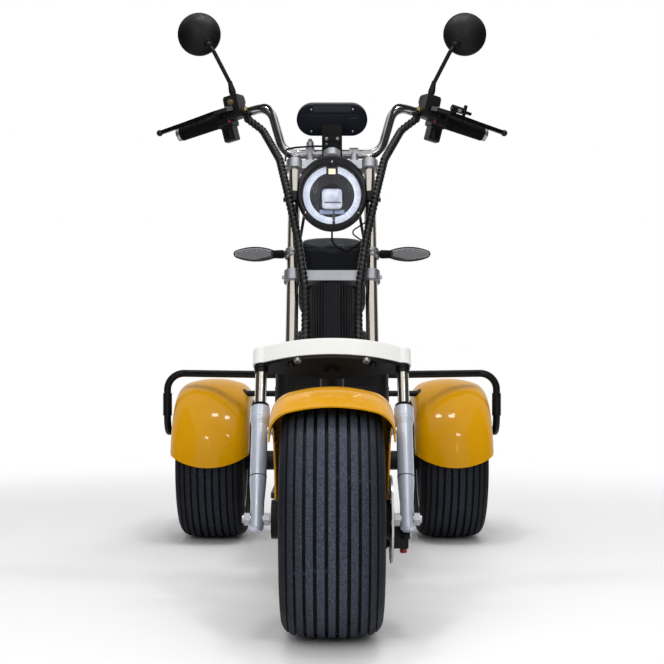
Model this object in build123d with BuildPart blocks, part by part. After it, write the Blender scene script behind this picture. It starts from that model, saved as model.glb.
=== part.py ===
"""Three-wheeled electric scooter: a raked twin-tube fork in front, two fat wheels behind.

Millimetres, +Z up, the scooter faces -Y and its own left side is +X.
Lengths along the scooter are given as "back", the distance behind the front axle.
"""
import os
from math import cos, radians, sin

from build123d import *

# Layout
WHEELBASE = 1320.0
REAR_TRACK = 728.0
REAR_OVERHANG = 320.0
RAKE = 27.0

# Wheels
TYRE_RADIUS = 238.0
TYRE_WIDTH = 205.0
TREAD_WIDTH = 146.0
CROWN_DROP = 5.0
SIDEWALL_DROP = 41.0
SECTION_HEIGHT = 86.0
BEAD_WIDTH = 160.0
FLANGE_HEIGHT = 11.0
FLANGE_WIDTH = 8.0
RIM_WALL = 7.0
HUB_RADIUS = 40.0
SPOKE_COUNT = 5
SPOKE_THICKNESS = 26.0
SPOKE_ROOT = 52.0
SPOKE_TIP = 34.0
FRONT_HUB_RIGHT = 124.0
FRONT_HUB_LEFT = 119.0
REAR_HUB_HALF = 70.0
RUNNING_GAP = 0.3

# Axles and brake
AXLE_RADIUS = 8.0
SPINDLE_RADIUS = 14.0
NUT_FLATS = 24.0
NUT_HEIGHT = 12.0
AXLE_TUBE_RADIUS = 30.0
DISC_RADIUS = 90.0
DISC_BORE = 28.0
DISC_THICKNESS = 4.0
DISC_SLOT_COUNT = 8
CALIPER_GAP = 3.0

# Fork, measured along the steering axis from the front axle
LEG_LEAD = 8.0
LEG_SPREAD = 154.0
LEG_FOOT_RADIUS = 14.0
LEG_RADIUS = 17.5
LEG_COLLAR_RADIUS = 21.0
LEG_FOOT = -26.0
LEG_WAIST = 34.0
LEG_SHOULDER = 82.0
LEG_COLLAR_LENGTH = 30.0
STANCHION_SHOWN = 90.0
STANCHION_RADIUS = 12.5
BOSS_DROP = 24.0
BOSS_RADIUS = 7.0
TUBE_LEAD = 36.0
TUBE_SPREAD = 88.0
TUBE_RADIUS = 14.0
TUBE_FIT = 0.1
BRIDGE_GAP = 70.0
PLATE_BASE = 8.0
PLATE_HEIGHT = 40.0
PLATE_BOW = 68.0
PLATE_END_RADIUS = 19.0
PLATE_REAR = 42.0
PLATE_ROUND = 5.0
LOWER_CLAMP_HEIGHT = 26.0
CLAMP_SPACING = 303.0
UPPER_CLAMP_HEIGHT = 24.0
CLAMP_EAR_RADIUS = 20.0
STEM_RADIUS = 13.0

# Handlebar: corner points as (side, back, height) from the top of the upper clamp
BAR_RADIUS = 11.0
BAR_BEND = 42.0
BAR_LOW = (115.0, 30.1, 23.3)
BAR_HIGH = (150.0, 61.1, 146.3)
BAR_TIP = (372.0, 146.1, 91.3)
GRIP_LENGTH = 108.0
GRIP_RADIUS = 17.0
CAP_LENGTH = 9.0
CAP_RADIUS = 15.5
RISER_SPREAD = 52.0
RISER_WIDTH = 21.0
RISER_DEPTH = 32.0
RISER_EYE = 15.5
RISER_CAP_RADIUS = 9.0
RISER_CAP_HEIGHT = 21.0
KEY_RADIUS = 20.0
KEY_HEIGHT = 20.0
KEY_LEAD = 13.0

# Lamps
LIGHT_DROP = 82.3
LIGHT_REACH = 100.7
LIGHT_RADIUS = 79.0
BUCKET_RADIUS = 71.0
BUCKET_DEPTH = 96.0
LIGHT_CAVITY = 24.0
LIGHT_OPENING = 68.0
RING_OUTER = 65.0
RING_INNER = 50.0
RING_DEPTH = 9.0
PROJECTOR = 46.0
PROJECTOR_DEPTH = 18.0
PROJECTOR_DROP = 9.0
SIGNAL_RISE = 73.0
SIGNAL_STALK_RADIUS = 7.5
SIGNAL_ROOT = 132.0
SIGNAL_TIP = 222.0
SIGNAL_HEIGHT = 32.0
SIGNAL_DEPTH = 24.0
SIGNAL_LENS = 9.0

# Mirrors and display
MIRROR_RADIUS = 52.0
CYLINDER_TOP = 42.5
MIRROR_OUT = 84.2
MIRROR_RISE = 153.7
MIRROR_AFT = 5.3
MIRROR_DEPTH = 26.0
MIRROR_ARM_RADIUS = 5.0
GLASS_GAP = 0.6
DISPLAY_WIDTH = 168.0
DISPLAY_HEIGHT = 76.0
DISPLAY_DEPTH = 30.0
DISPLAY_TILT = 18.0
DISPLAY_RISE = 80.0
BRACKET_THICKNESS = 6.0
BRACKET_LAP = 29.0

# Cable bundles
LOOM_RADIUS = 10.0
LOOM_BEND = 40.0
HOSE_RADIUS = 3.5
HOSE_STANDOFF = 17.0
HOSE_BEND = 20.0
WIRE_RADIUS = 2.4
WIRE_BEND = 8.0

# Fenders
FENDER_WALL = 3.0
FRONT_FENDER_GAP = 31.0
FRONT_FENDER_WIDTH = 252.0
FRONT_FENDER_START = 61.0
FRONT_FENDER_SWEEP = 122.0
REAR_FENDER_GAP = 15.0
REAR_FENDER_WIDTH = 234.0
REAR_FENDER_START = -12.0
REAR_FENDER_SWEEP = 178.0
REAR_FENDER_BOW = 38.0
FENDER_SKIRT = 50.0
FENDER_CROWN = 12.0
FENDER_CORNER = 39.0
FENDER_SHOULDER = 65.0
FENDER_OPEN = 8.0

# Frame
HEAD_TUBE_RADIUS = 27.0
HEAD_LENGTH = 139.0
HEAD_GAP = 8.0
DOWN_TUBE_RADIUS = 28.0
NECK_RADIUS = 54.0
NECK_RIB_COUNT = 25
NECK_RIB_RADIUS = 2.4
RAIL_SPREAD = 100.0
RAIL_WIDTH = 30.0
RAIL_HEIGHT = 40.0
RAIL_DROP = 3.0
RAIL_LEAD = 133.0
BOX_LENGTH = 410.0
AXLE_ROOM = 210.0
BOX_WIDTH = 300.0
BOX_RISE = 45.0
BOX_WALL = 4.0
BOX_CORNER = 34.0
DECK_WIDTH = 290.0
DECK_NOSE = 53.0
DECK_THICKNESS = 14.0
NOTCH_DEPTH = 115.0
BATTERY_WIDTH = 236.0
BATTERY_INSET = 65.0
BATTERY_TAIL = 110.0
BATTERY_HEIGHT = 78.0
SUBFRAME_SPREAD = 85.0
SUBFRAME_CLEAR = 14.0
SUBFRAME_SHORT = 20.0
SUBFRAME_RADIUS = 14.0
CROSSBAR_RADIUS = 9.0
CROSSBAR_AHEAD = 80.0
CROSSBAR_DROP = 40.0
GUARD_RADIUS = 11.0
GUARD_GAP = 13.0
GUARD_OVER = 7.0
GUARD_AHEAD = 80.0
GUARD_RISE = 92.0
GUARD_CORNER = 50.0
GUARD_BEND = 50.0
ARM_RADIUS = 16.0
MOTOR_RADIUS = 78.0
MOTOR_WIDTH = 112.0
SHOCK_RADIUS = 24.0
INLET_RADIUS = 8.0
INLET_DEPTH = 14.0
INLET_INSET = 70.0
INLET_RISE = 185.0

# Seat
SEAT_WIDTH = 292.0
SEAT_ROUND = 24.0
BACKREST_WIDTH = 208.0
BACKREST_RISE = 155.0
BACKREST_HEIGHT = 238.0
BACKREST_THICKNESS = 60.0
BACKREST_POST_SPREAD = 60.0
BACKREST_POST_RADIUS = 9.0

# Clearance between pieces that are fastened face to face
SEAT_GAP = 0.2

# Places worked out from the sizes above: wheel radii, along the steering axis, behind the front axle, heights
SIDEWALL_RADIUS = TYRE_RADIUS - SIDEWALL_DROP
BEAD_RADIUS = TYRE_RADIUS - SECTION_HEIGHT
FENDER_RADIUS = TYRE_RADIUS + FRONT_FENDER_GAP + FENDER_WALL
PLATE_BOTTOM = FENDER_RADIUS + BRIDGE_GAP
LEG_TOP = PLATE_BOTTOM - STANCHION_SHOWN
LEG_COLLAR = LEG_TOP - LEG_COLLAR_LENGTH
BOSS_ALONG = LEG_COLLAR - BOSS_DROP
BRIDGE_TOP = PLATE_BOTTOM + PLATE_BASE + PLATE_HEIGHT
HEAD_TUBE_BOTTOM = BRIDGE_TOP + HEAD_GAP
HEAD_TUBE_TOP = HEAD_TUBE_BOTTOM + HEAD_LENGTH
LOWER_CLAMP = HEAD_TUBE_TOP + HEAD_GAP
UPPER_CLAMP = LOWER_CLAMP + CLAMP_SPACING
UPPER_FACE = UPPER_CLAMP + UPPER_CLAMP_HEIGHT
SIGNAL_ALONG = LOWER_CLAMP + SIGNAL_RISE
LIGHT_ALONG = UPPER_CLAMP - LIGHT_DROP
RAIL_FRONT = FENDER_RADIUS + RAIL_LEAD
DECK_FRONT = RAIL_FRONT - DECK_NOSE
BATTERY_FRONT = RAIL_FRONT + BATTERY_INSET
BOX_REAR = WHEELBASE - AXLE_ROOM
BOX_FRONT = BOX_REAR - BOX_LENGTH
BATTERY_REAR = BOX_REAR - BATTERY_TAIL
SUBFRAME_REAR = WHEELBASE - SUBFRAME_SHORT
CROSSBAR_BACK = WHEELBASE - CROSSBAR_AHEAD
GUARD_BACK = WHEELBASE - GUARD_AHEAD
INLET_BACK = BOX_FRONT + INLET_INSET
RAIL_TOP = TYRE_RADIUS - RAIL_DROP
INLET_HEIGHT = RAIL_TOP + INLET_RISE
SUBFRAME_HEIGHT = 2 * TYRE_RADIUS + SUBFRAME_CLEAR
CROSSBAR_HEIGHT = SUBFRAME_HEIGHT - CROSSBAR_DROP
BOX_TOP = SUBFRAME_HEIGHT + BOX_RISE
BACKREST_BOTTOM = BOX_TOP + BACKREST_RISE
BACKREST_TOP = BACKREST_BOTTOM + BACKREST_HEIGHT
GUARD_SPREAD = REAR_TRACK / 2 + REAR_FENDER_WIDTH / 2 + GUARD_GAP + GUARD_RADIUS
GUARD_TOP = 2 * TYRE_RADIUS + REAR_FENDER_GAP + FENDER_WALL + GUARD_OVER + GUARD_RADIUS
GUARD_LOW = TYRE_RADIUS + GUARD_RISE
FENDER_SIDE_RADIUS = TYRE_RADIUS - FENDER_SKIRT

FRONT_Y = (TYRE_RADIUS - WHEELBASE - REAR_OVERHANG) / 2
AXIS = Vector(0, sin(radians(RAKE)), cos(radians(RAKE)))
FORWARD = Vector(0, -cos(radians(RAKE)), sin(radians(RAKE)))
SIDE = Vector(1, 0, 0)


def spot(x, back, z):
    """A point given by its side offset, distance behind the front axle and height."""
    return Vector(x, FRONT_Y + back, z)


FRONT_AXLE = spot(0, 0, TYRE_RADIUS)
REAR_AXLE = spot(0, WHEELBASE, TYRE_RADIUS)


def fork_point(x, lead, along):
    """A point in the fork: side offset, lead ahead of the steering axis, way up that axis."""
    return FRONT_AXLE + SIDE * x + FORWARD * (lead - LEG_LEAD) + AXIS * along


def fork_plane(along):
    """A plane across the steering axis; its local y runs backwards."""
    return Plane(origin=fork_point(0, 0, along), x_dir=(1, 0, 0), z_dir=AXIS)


def along_plane(x, lead, along):
    """A plane that holds the fork direction as its local y and the side as its local x."""
    return Plane(origin=fork_point(x, lead, along), x_dir=(1, 0, 0), z_dir=FORWARD)


def wheel_plane(centre):
    """A plane through a wheel's axis: local x along the axle, local y up."""
    return Plane(origin=centre, x_dir=(1, 0, 0), z_dir=(0, -1, 0))


def side_plane(x, centre):
    """A plane across a wheel's axis, with its normal along +X."""
    return Plane(origin=centre + SIDE * x, x_dir=(0, 1, 0), z_dir=(1, 0, 0))


def angled_plane(centre, angle):
    """A plane through a wheel's axis whose local y points out at an angle above straight ahead."""
    turn = radians(angle)
    return Plane(origin=centre, x_dir=(1, 0, 0), z_dir=(0, -sin(turn), -cos(turn)))


def tube(points, bend, radius):
    """A round bar along straight runs joined by tangent bends."""
    with BuildPart() as piece:
        with BuildLine() as path:
            FilletPolyline(*points, radius=bend)
        run = path.wires()[0]
        with BuildSketch(Plane(origin=run @ 0, z_dir=run % 0)):
            Circle(radius)
        sweep(path=run)
    return piece.part


def rod(start, end, radius):
    """A straight round bar between two points."""
    with BuildPart() as piece:
        with BuildSketch(Plane(origin=start, z_dir=end - start)):
            Circle(radius)
        extrude(amount=(end - start).length)
    return piece.part


def block(low, high):
    """A box between two opposite corners."""
    middle = (low + high) * 0.5
    span = high - low
    with BuildPart() as piece:
        with Locations(middle):
            Box(span.X, span.Y, span.Z)
    return piece.part


def make_tyre(centre):
    tread = TREAD_WIDTH / 2
    bead = BEAD_WIDTH / 2
    with BuildPart() as piece:
        with BuildSketch(wheel_plane(centre)):
            with BuildLine():
                crown = ThreePointArc(
                    (0, TYRE_RADIUS),
                    (tread / 2, TYRE_RADIUS - CROWN_DROP / 4),
                    (tread, TYRE_RADIUS - CROWN_DROP),
                )
                shoulder = TangentArc(crown @ 1, (TYRE_WIDTH / 2, SIDEWALL_RADIUS), tangent=crown % 1)
                Polyline(
                    shoulder @ 1,
                    (bead, BEAD_RADIUS + FLANGE_HEIGHT + 1),
                    (bead, BEAD_RADIUS),
                    (0, BEAD_RADIUS),
                )
                mirror(about=Plane.YZ)
            make_face()
        revolve(axis=Axis(centre, (1, 0, 0)))
    return piece


def make_rim(centre, hub_low, hub_high, bore):
    bead = BEAD_WIDTH / 2
    lip = bead + FLANGE_WIDTH
    with BuildPart() as piece:
        with BuildSketch(wheel_plane(centre)):
            with BuildLine():
                Polyline(
                    (-lip, BEAD_RADIUS + FLANGE_HEIGHT),
                    (-bead, BEAD_RADIUS + FLANGE_HEIGHT),
                    (-bead, BEAD_RADIUS),
                    (bead, BEAD_RADIUS),
                    (bead, BEAD_RADIUS + FLANGE_HEIGHT),
                    (lip, BEAD_RADIUS + FLANGE_HEIGHT),
                    (lip, BEAD_RADIUS),
                    (bead, BEAD_RADIUS - RIM_WALL),
                    (-bead, BEAD_RADIUS - RIM_WALL),
                    (-lip, BEAD_RADIUS),
                    close=True,
                )
            make_face()
        revolve(axis=Axis(centre, (1, 0, 0)))
        with BuildSketch(side_plane(hub_low, centre)):
            Circle(HUB_RADIUS)
        extrude(amount=hub_high - hub_low)
        spoke = (HUB_RADIUS / 2, BEAD_RADIUS - RIM_WALL / 2)
        with BuildSketch(side_plane(-SPOKE_THICKNESS / 2, centre)):
            with PolarLocations(0, SPOKE_COUNT, start_angle=90):
                Polygon(
                    (spoke[0], -SPOKE_ROOT / 2),
                    (spoke[1], -SPOKE_TIP / 2),
                    (spoke[1], SPOKE_TIP / 2),
                    (spoke[0], SPOKE_ROOT / 2),
                    align=None,
                )
        extrude(amount=SPOKE_THICKNESS)
        with BuildSketch(side_plane(hub_low, centre)):
            Circle(bore)
        extrude(amount=hub_high - hub_low, mode=Mode.SUBTRACT)
    return piece


def fender_core(centre, gap, width, start, arc):
    """A filled, round-shouldered sector about a wheel's axis."""
    outer = TYRE_RADIUS + gap
    half = width / 2
    corner = half - FENDER_CORNER
    low = FENDER_SIDE_RADIUS - 4 * FENDER_WALL
    with BuildPart() as piece:
        with BuildSketch(angled_plane(centre, start)):
            with BuildLine():
                top = ThreePointArc(
                    (0, outer), (corner / 2, outer - FENDER_CROWN / 4), (corner, outer - FENDER_CROWN)
                )
                edge = TangentArc(top @ 1, (half, outer - FENDER_SHOULDER), tangent=top % 1)
                Polyline(edge @ 1, (half, low), (0, low))
                mirror(about=Plane.YZ)
            make_face()
        revolve(axis=Axis(centre, (-1, 0, 0)), revolution_arc=arc)
    return piece.part


def make_fender(centre, gap, width, start, arc, bow):
    """A rounded channel turned about a wheel's axis; its front edge may hang in a bow."""
    half = width / 2
    with BuildPart() as piece:
        add(fender_core(centre, gap + FENDER_WALL, width, start, arc))
        if bow:
            with BuildSketch(wheel_plane(centre)):
                with BuildLine():
                    lip = ThreePointArc((-half - 5, bow), (0, 0), (half + 5, bow))
                    Polyline(lip @ 1, (half + 5, -TYRE_RADIUS), (-half - 5, -TYRE_RADIUS), lip @ 0)
                make_face()
            extrude(amount=TYRE_RADIUS * 2, mode=Mode.SUBTRACT)
        inside = fender_core(centre, gap, width - 2 * FENDER_WALL, start - FENDER_OPEN, arc + 2 * FENDER_OPEN)
        with BuildSketch(side_plane(-half, centre)):
            Circle(FENDER_SIDE_RADIUS)
        extrude(amount=width, mode=Mode.SUBTRACT)
        add(inside, mode=Mode.SUBTRACT)
    return piece


# Wheels
front_tyre = make_tyre(FRONT_AXLE)
front_rim = make_rim(FRONT_AXLE, -FRONT_HUB_RIGHT, FRONT_HUB_LEFT, AXLE_RADIUS + RUNNING_GAP)
left_centre = REAR_AXLE + SIDE * (REAR_TRACK / 2)
right_centre = REAR_AXLE - SIDE * (REAR_TRACK / 2)
rear_bore = SPINDLE_RADIUS + RUNNING_GAP
rear_tyre_left = make_tyre(left_centre)
rear_tyre_right = make_tyre(right_centre)
rear_rim_left = make_rim(left_centre, -REAR_HUB_HALF, REAR_HUB_HALF, rear_bore)
rear_rim_right = make_rim(right_centre, -REAR_HUB_HALF, REAR_HUB_HALF, rear_bore)

with BuildPart() as front_disc:
    with BuildSketch(side_plane(FRONT_HUB_LEFT, FRONT_AXLE)):
        Circle(DISC_RADIUS)
        Circle(DISC_BORE, mode=Mode.SUBTRACT)
        with PolarLocations((DISC_RADIUS + HUB_RADIUS) / 2, DISC_SLOT_COUNT):
            SlotOverall(DISC_RADIUS - HUB_RADIUS - 20, 12, mode=Mode.SUBTRACT)
    extrude(amount=DISC_THICKNESS)

disc_outside = FRONT_HUB_LEFT + DISC_THICKNESS

# Front axle with a nut on each side of both legs
nut_start = LEG_SPREAD + LEG_FOOT_RADIUS + SEAT_GAP
inner_nut = LEG_SPREAD - LEG_FOOT_RADIUS - SEAT_GAP - NUT_HEIGHT
axle_half = nut_start + NUT_HEIGHT + 4
with BuildPart() as front_axle:
    with BuildSketch(side_plane(-axle_half, FRONT_AXLE)):
        Circle(AXLE_RADIUS)
    extrude(amount=2 * axle_half)
    for start in (nut_start, inner_nut, -nut_start - NUT_HEIGHT, -inner_nut - NUT_HEIGHT):
        with BuildSketch(side_plane(start, FRONT_AXLE)):
            RegularPolygon(NUT_FLATS / 2, 6, major_radius=False)
        extrude(amount=NUT_HEIGHT)

# Fork legs: turned lower legs with a collar on top and a peg towards the fender
fender_side = FRONT_FENDER_WIDTH / 2
with BuildPart() as fork_legs:
    with BuildSketch(along_plane(LEG_SPREAD, LEG_LEAD, 0)):
        with BuildLine():
            Polyline(
                (0, LEG_FOOT),
                (LEG_FOOT_RADIUS - 5, LEG_FOOT),
                (LEG_FOOT_RADIUS, LEG_FOOT + 6),
                (LEG_FOOT_RADIUS, LEG_WAIST),
                (LEG_RADIUS, LEG_SHOULDER),
                (LEG_RADIUS, LEG_COLLAR - 14),
                (LEG_COLLAR_RADIUS, LEG_COLLAR),
                (LEG_COLLAR_RADIUS, LEG_TOP - 3),
                (LEG_COLLAR_RADIUS - 3, LEG_TOP),
                (0, LEG_TOP),
                close=True,
            )
        make_face()
    revolve(axis=Axis(fork_point(LEG_SPREAD, LEG_LEAD, 0), AXIS))
    boss = fork_point(LEG_SPREAD, LEG_LEAD, BOSS_ALONG)
    add(rod(Vector(fender_side + SEAT_GAP, boss.Y, boss.Z), boss, BOSS_RADIUS))
    add(rod(FRONT_AXLE, FRONT_AXLE + SIDE * 2 * LEG_SPREAD, AXLE_RADIUS + TUBE_FIT), mode=Mode.SUBTRACT)
    mirror(about=Plane.YZ)

# Bright tubes: the sliding tubes below the bridge and the long tubes above it
upper_top = UPPER_FACE + 6
with BuildPart() as fork_tubes:
    for side in (-1, 1):
        foot = fork_point(side * LEG_SPREAD, LEG_LEAD, LEG_TOP)
        add(rod(foot, fork_point(side * LEG_SPREAD, LEG_LEAD, PLATE_BOTTOM), STANCHION_RADIUS))
        foot = fork_point(side * TUBE_SPREAD, TUBE_LEAD, BRIDGE_TOP)
        add(rod(foot, fork_point(side * TUBE_SPREAD, TUBE_LEAD, upper_top), TUBE_RADIUS))

# Fork bridge: pale bowed cover over a black base plate
bridge_end = LEG_SPREAD - 4
bridge_front = LEG_LEAD + PLATE_END_RADIUS
bridge_back = PLATE_END_RADIUS - LEG_LEAD


def bridge_outline():
    """Edges of the bridge seen along the steering axis."""
    with BuildLine() as outline:
        bow = ThreePointArc((-bridge_end, -bridge_front), (0, -PLATE_BOW), (bridge_end, -bridge_front))
        tip = ThreePointArc(
            bow @ 1,
            (LEG_SPREAD + PLATE_END_RADIUS, -LEG_LEAD),
            (bridge_end, bridge_back),
        )
        rear = Polyline(tip @ 1, (26, PLATE_REAR), (-26, PLATE_REAR), (-bridge_end, bridge_back))
        ThreePointArc(rear @ 1, (-LEG_SPREAD - PLATE_END_RADIUS, -LEG_LEAD), bow @ 0)
    return outline.edges()


with BuildPart() as fork_plate:
    with BuildSketch(fork_plane(PLATE_BOTTOM + PLATE_BASE)) as bridge:
        make_face(bridge_outline())
        fillet(bridge.vertices(), radius=2 * PLATE_ROUND)
    extrude(amount=PLATE_HEIGHT)
    fillet(fork_plate.faces().sort_by(Axis(FRONT_AXLE, AXIS))[-1].edges(), radius=PLATE_ROUND)

with BuildPart() as fork_plate_base:
    with BuildSketch(fork_plane(PLATE_BOTTOM)):
        make_face(bridge_outline())
        offset(amount=-3, mode=Mode.REPLACE)
    extrude(amount=PLATE_BASE)
    with BuildSketch(fork_plane(PLATE_BOTTOM - 10)):
        with Locations((-LEG_SPREAD, -LEG_LEAD), (LEG_SPREAD, -LEG_LEAD)):
            Circle(STANCHION_RADIUS + 2.5)
            Circle(STANCHION_RADIUS + TUBE_FIT, mode=Mode.SUBTRACT)
        with Locations((0, 0)):
            Circle(STEM_RADIUS + 5)
        with Locations((-TUBE_SPREAD, -TUBE_LEAD), (TUBE_SPREAD, -TUBE_LEAD)):
            Circle(8)
    extrude(amount=10)


def make_clamp(low, height, reach):
    """A yoke with an ear round each long tube."""
    with BuildPart() as piece:
        with BuildSketch(fork_plane(low)):
            with Locations((-TUBE_SPREAD, -TUBE_LEAD), (TUBE_SPREAD, -TUBE_LEAD)):
                Circle(CLAMP_EAR_RADIUS)
            with Locations((0, -TUBE_LEAD + 3)):
                Rectangle(2 * TUBE_SPREAD, 24)
            if reach:
                with Locations((0, 0)):
                    Circle(reach)
                with Locations((0, -TUBE_LEAD / 2)):
                    Rectangle(2 * reach, TUBE_LEAD)
            with Locations((-TUBE_SPREAD, -TUBE_LEAD), (TUBE_SPREAD, -TUBE_LEAD)):
                Circle(TUBE_RADIUS + TUBE_FIT, mode=Mode.SUBTRACT)
        extrude(amount=height)
    return piece


lower_clamp = make_clamp(LOWER_CLAMP, LOWER_CLAMP_HEIGHT, 27)
upper_clamp = make_clamp(UPPER_CLAMP, UPPER_CLAMP_HEIGHT, 0)

# Stem between bridge and lower clamp
with BuildPart() as steering_stem:
    add(rod(fork_point(0, 0, BRIDGE_TOP), fork_point(0, 0, LOWER_CLAMP), STEM_RADIUS))

# Handlebar
clamp_top = fork_point(0, TUBE_LEAD, UPPER_FACE)
bar_low = clamp_top + Vector(*BAR_LOW)
bar_high = clamp_top + Vector(*BAR_HIGH)
bar_tip = clamp_top + Vector(*BAR_TIP)
bar_way = (bar_tip - bar_high).normalized()


def twin(point):
    """The same point on the other side."""
    return Vector(-point.X, point.Y, point.Z)


def bar_plane(inward):
    """A plane across the left grip line, at a distance in from its tip: local x back, local y up."""
    return Plane(origin=bar_tip - bar_way * inward, x_dir=(0, 1, 0), z_dir=bar_way)


with BuildPart() as handlebar:
    bar_points = [twin(bar_tip), twin(bar_high), twin(bar_low), bar_low, bar_high, bar_tip]
    add(tube(bar_points, BAR_BEND, BAR_RADIUS))
    for side_tip, way in ((bar_tip, bar_way), (twin(bar_tip), twin(bar_way))):
        add(rod(side_tip, side_tip + way * CAP_LENGTH, CAP_RADIUS))

with BuildPart() as grips:
    with BuildSketch(bar_plane(GRIP_LENGTH)):
        Circle(GRIP_RADIUS)
        Circle(BAR_RADIUS + TUBE_FIT, mode=Mode.SUBTRACT)
    extrude(amount=GRIP_LENGTH - SEAT_GAP)
    mirror(about=Plane.YZ)

# Risers that carry the bar in round eyes, the right one under a tall cap, and the key switch between them
bar_mid = (bar_low + twin(bar_low)) * 0.5
riser_lead = fork_plane(UPPER_FACE).to_local_coords(bar_mid)
with BuildPart() as bar_risers:
    with BuildSketch(fork_plane(UPPER_FACE)):
        with Locations((-RISER_SPREAD, riser_lead.Y), (RISER_SPREAD, riser_lead.Y)):
            SlotOverall(RISER_DEPTH, RISER_WIDTH, rotation=90)
    extrude(amount=riser_lead.Z)
    for side in (-1, 1):
        eye = bar_mid + SIDE * (side * RISER_SPREAD)
        add(rod(eye - SIDE * (RISER_WIDTH / 2), eye + SIDE * (RISER_WIDTH / 2), RISER_EYE))
    cap_base = bar_mid - SIDE * RISER_SPREAD
    with BuildSketch(Plane(origin=cap_base, x_dir=(1, 0, 0), z_dir=(0, -1, 0))):
        with BuildLine():
            cap_side = Polyline(
                (0, 0),
                (RISER_CAP_RADIUS, 0),
                (RISER_CAP_RADIUS, RISER_EYE + RISER_CAP_HEIGHT * 0.55),
                (RISER_CAP_RADIUS * 0.4, RISER_EYE + RISER_CAP_HEIGHT),
                (0, RISER_EYE + RISER_CAP_HEIGHT),
                close=True,
            )
        make_face()
    revolve(axis=Axis(cap_base, (0, 0, 1)))
    add(rod(twin(bar_low), bar_low, BAR_RADIUS + TUBE_FIT), mode=Mode.SUBTRACT)

with BuildPart() as key_switch:
    with BuildSketch(fork_plane(UPPER_FACE)):
        with Locations((0, -TUBE_LEAD - KEY_LEAD)):
            Circle(KEY_RADIUS)
    extrude(amount=KEY_HEIGHT)
    chamfer(key_switch.edges().group_by(SortBy.LENGTH)[-1], length=2)

# Headlight: bucket, ring lamp, projector and clear cover, all facing straight ahead
strap_mid = fork_point(TUBE_SPREAD, TUBE_LEAD, LIGHT_ALONG)
light = Vector(0, strap_mid.Y - LIGHT_REACH, strap_mid.Z)


def light_plane(depth):
    """A plane across the headlight's axis, facing forward, at a depth behind its rim."""
    return Plane(origin=light + Vector(0, depth, 0), x_dir=(1, 0, 0), z_dir=(0, -1, 0))


light_profile = Plane(origin=light, x_dir=(1, 0, 0), z_dir=(0, 0, 1))
light_axis = Axis(light, (0, 1, 0))
with BuildPart() as headlight_bucket:
    with BuildSketch(light_profile):
        with BuildLine():
            front = Polyline(
                (0, LIGHT_CAVITY),
                (LIGHT_OPENING, LIGHT_CAVITY),
                (LIGHT_OPENING, 0),
                (LIGHT_RADIUS - 4, 0),
                (LIGHT_RADIUS, 5),
                (LIGHT_RADIUS, 20),
                (BUCKET_RADIUS, 26),
                (BUCKET_RADIUS, 44),
            )
            back = ThreePointArc(
                front @ 1,
                (BUCKET_RADIUS * 0.87, BUCKET_DEPTH * 0.78),
                (BUCKET_RADIUS * 0.52, BUCKET_DEPTH),
            )
            Polyline(back @ 1, (0, BUCKET_DEPTH), front @ 0)
        make_face()
    revolve(axis=light_axis)

with BuildPart() as headlight_ring:
    with BuildSketch(light_plane(LIGHT_CAVITY)):
        Circle(RING_OUTER)
        Circle(RING_INNER, mode=Mode.SUBTRACT)
        with Locations((0, (RING_OUTER + RING_INNER) / 2)):
            Rectangle(26, RING_OUTER - RING_INNER + 8, mode=Mode.SUBTRACT)
        with Locations((4, -(RING_OUTER + RING_INNER) / 2)):
            Rectangle(6, RING_OUTER - RING_INNER + 8, mode=Mode.SUBTRACT)
    extrude(amount=RING_DEPTH)
    with BuildSketch(light_plane(LIGHT_CAVITY)):
        with Locations((0, (RING_OUTER + RING_INNER) / 2)):
            Rectangle(19, 14)
    extrude(amount=RING_DEPTH - 2)

with BuildPart() as headlight_projector:
    with BuildSketch(light_plane(LIGHT_CAVITY)):
        with Locations((0, -PROJECTOR_DROP)):
            RectangleRounded(PROJECTOR, PROJECTOR, 9)
    extrude(amount=PROJECTOR_DEPTH)
    fillet(headlight_projector.faces().sort_by(Axis.Y)[0].edges(), radius=6)

with BuildPart() as headlight_lens:
    with BuildSketch(light_profile):
        with BuildLine():
            dome = TangentArc((0, -6), (LIGHT_OPENING - SEAT_GAP, 1), tangent=(1, 0))
            inner = TangentArc((0, -3), (LIGHT_OPENING - SEAT_GAP, 4), tangent=(1, 0))
            Line(dome @ 1, inner @ 1)
            Line(inner @ 0, dome @ 0)
        make_face()
    revolve(axis=light_axis)

# Black straps that hold the headlight to the long tubes
with BuildPart() as headlight_straps:
    with BuildSketch(fork_plane(LIGHT_ALONG - 13)):
        with Locations((TUBE_SPREAD, -TUBE_LEAD)):
            Circle(TUBE_RADIUS + 5)
    extrude(amount=26)
    strap_low = Vector(BUCKET_RADIUS + SEAT_GAP, light.Y + 27, strap_mid.Z - 14)
    strap_high = Vector(BUCKET_RADIUS + SEAT_GAP + 7, strap_mid.Y, strap_mid.Z + 14)
    add(block(strap_low, strap_high))
    hole_foot = fork_point(TUBE_SPREAD, TUBE_LEAD, LIGHT_ALONG - 60)
    hole_top = fork_point(TUBE_SPREAD, TUBE_LEAD, LIGHT_ALONG + 60)
    add(rod(hole_foot, hole_top, TUBE_RADIUS + TUBE_FIT), mode=Mode.SUBTRACT)
    mirror(about=Plane.YZ)

# Turn signals: bright clamp, black stalk and lamp body, grey lens in front
signal = fork_point(TUBE_SPREAD, TUBE_LEAD, SIGNAL_ALONG)


def signal_plane(depth):
    return Plane(origin=Vector(0, signal.Y + depth, signal.Z), x_dir=(1, 0, 0), z_dir=(0, -1, 0))


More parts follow.
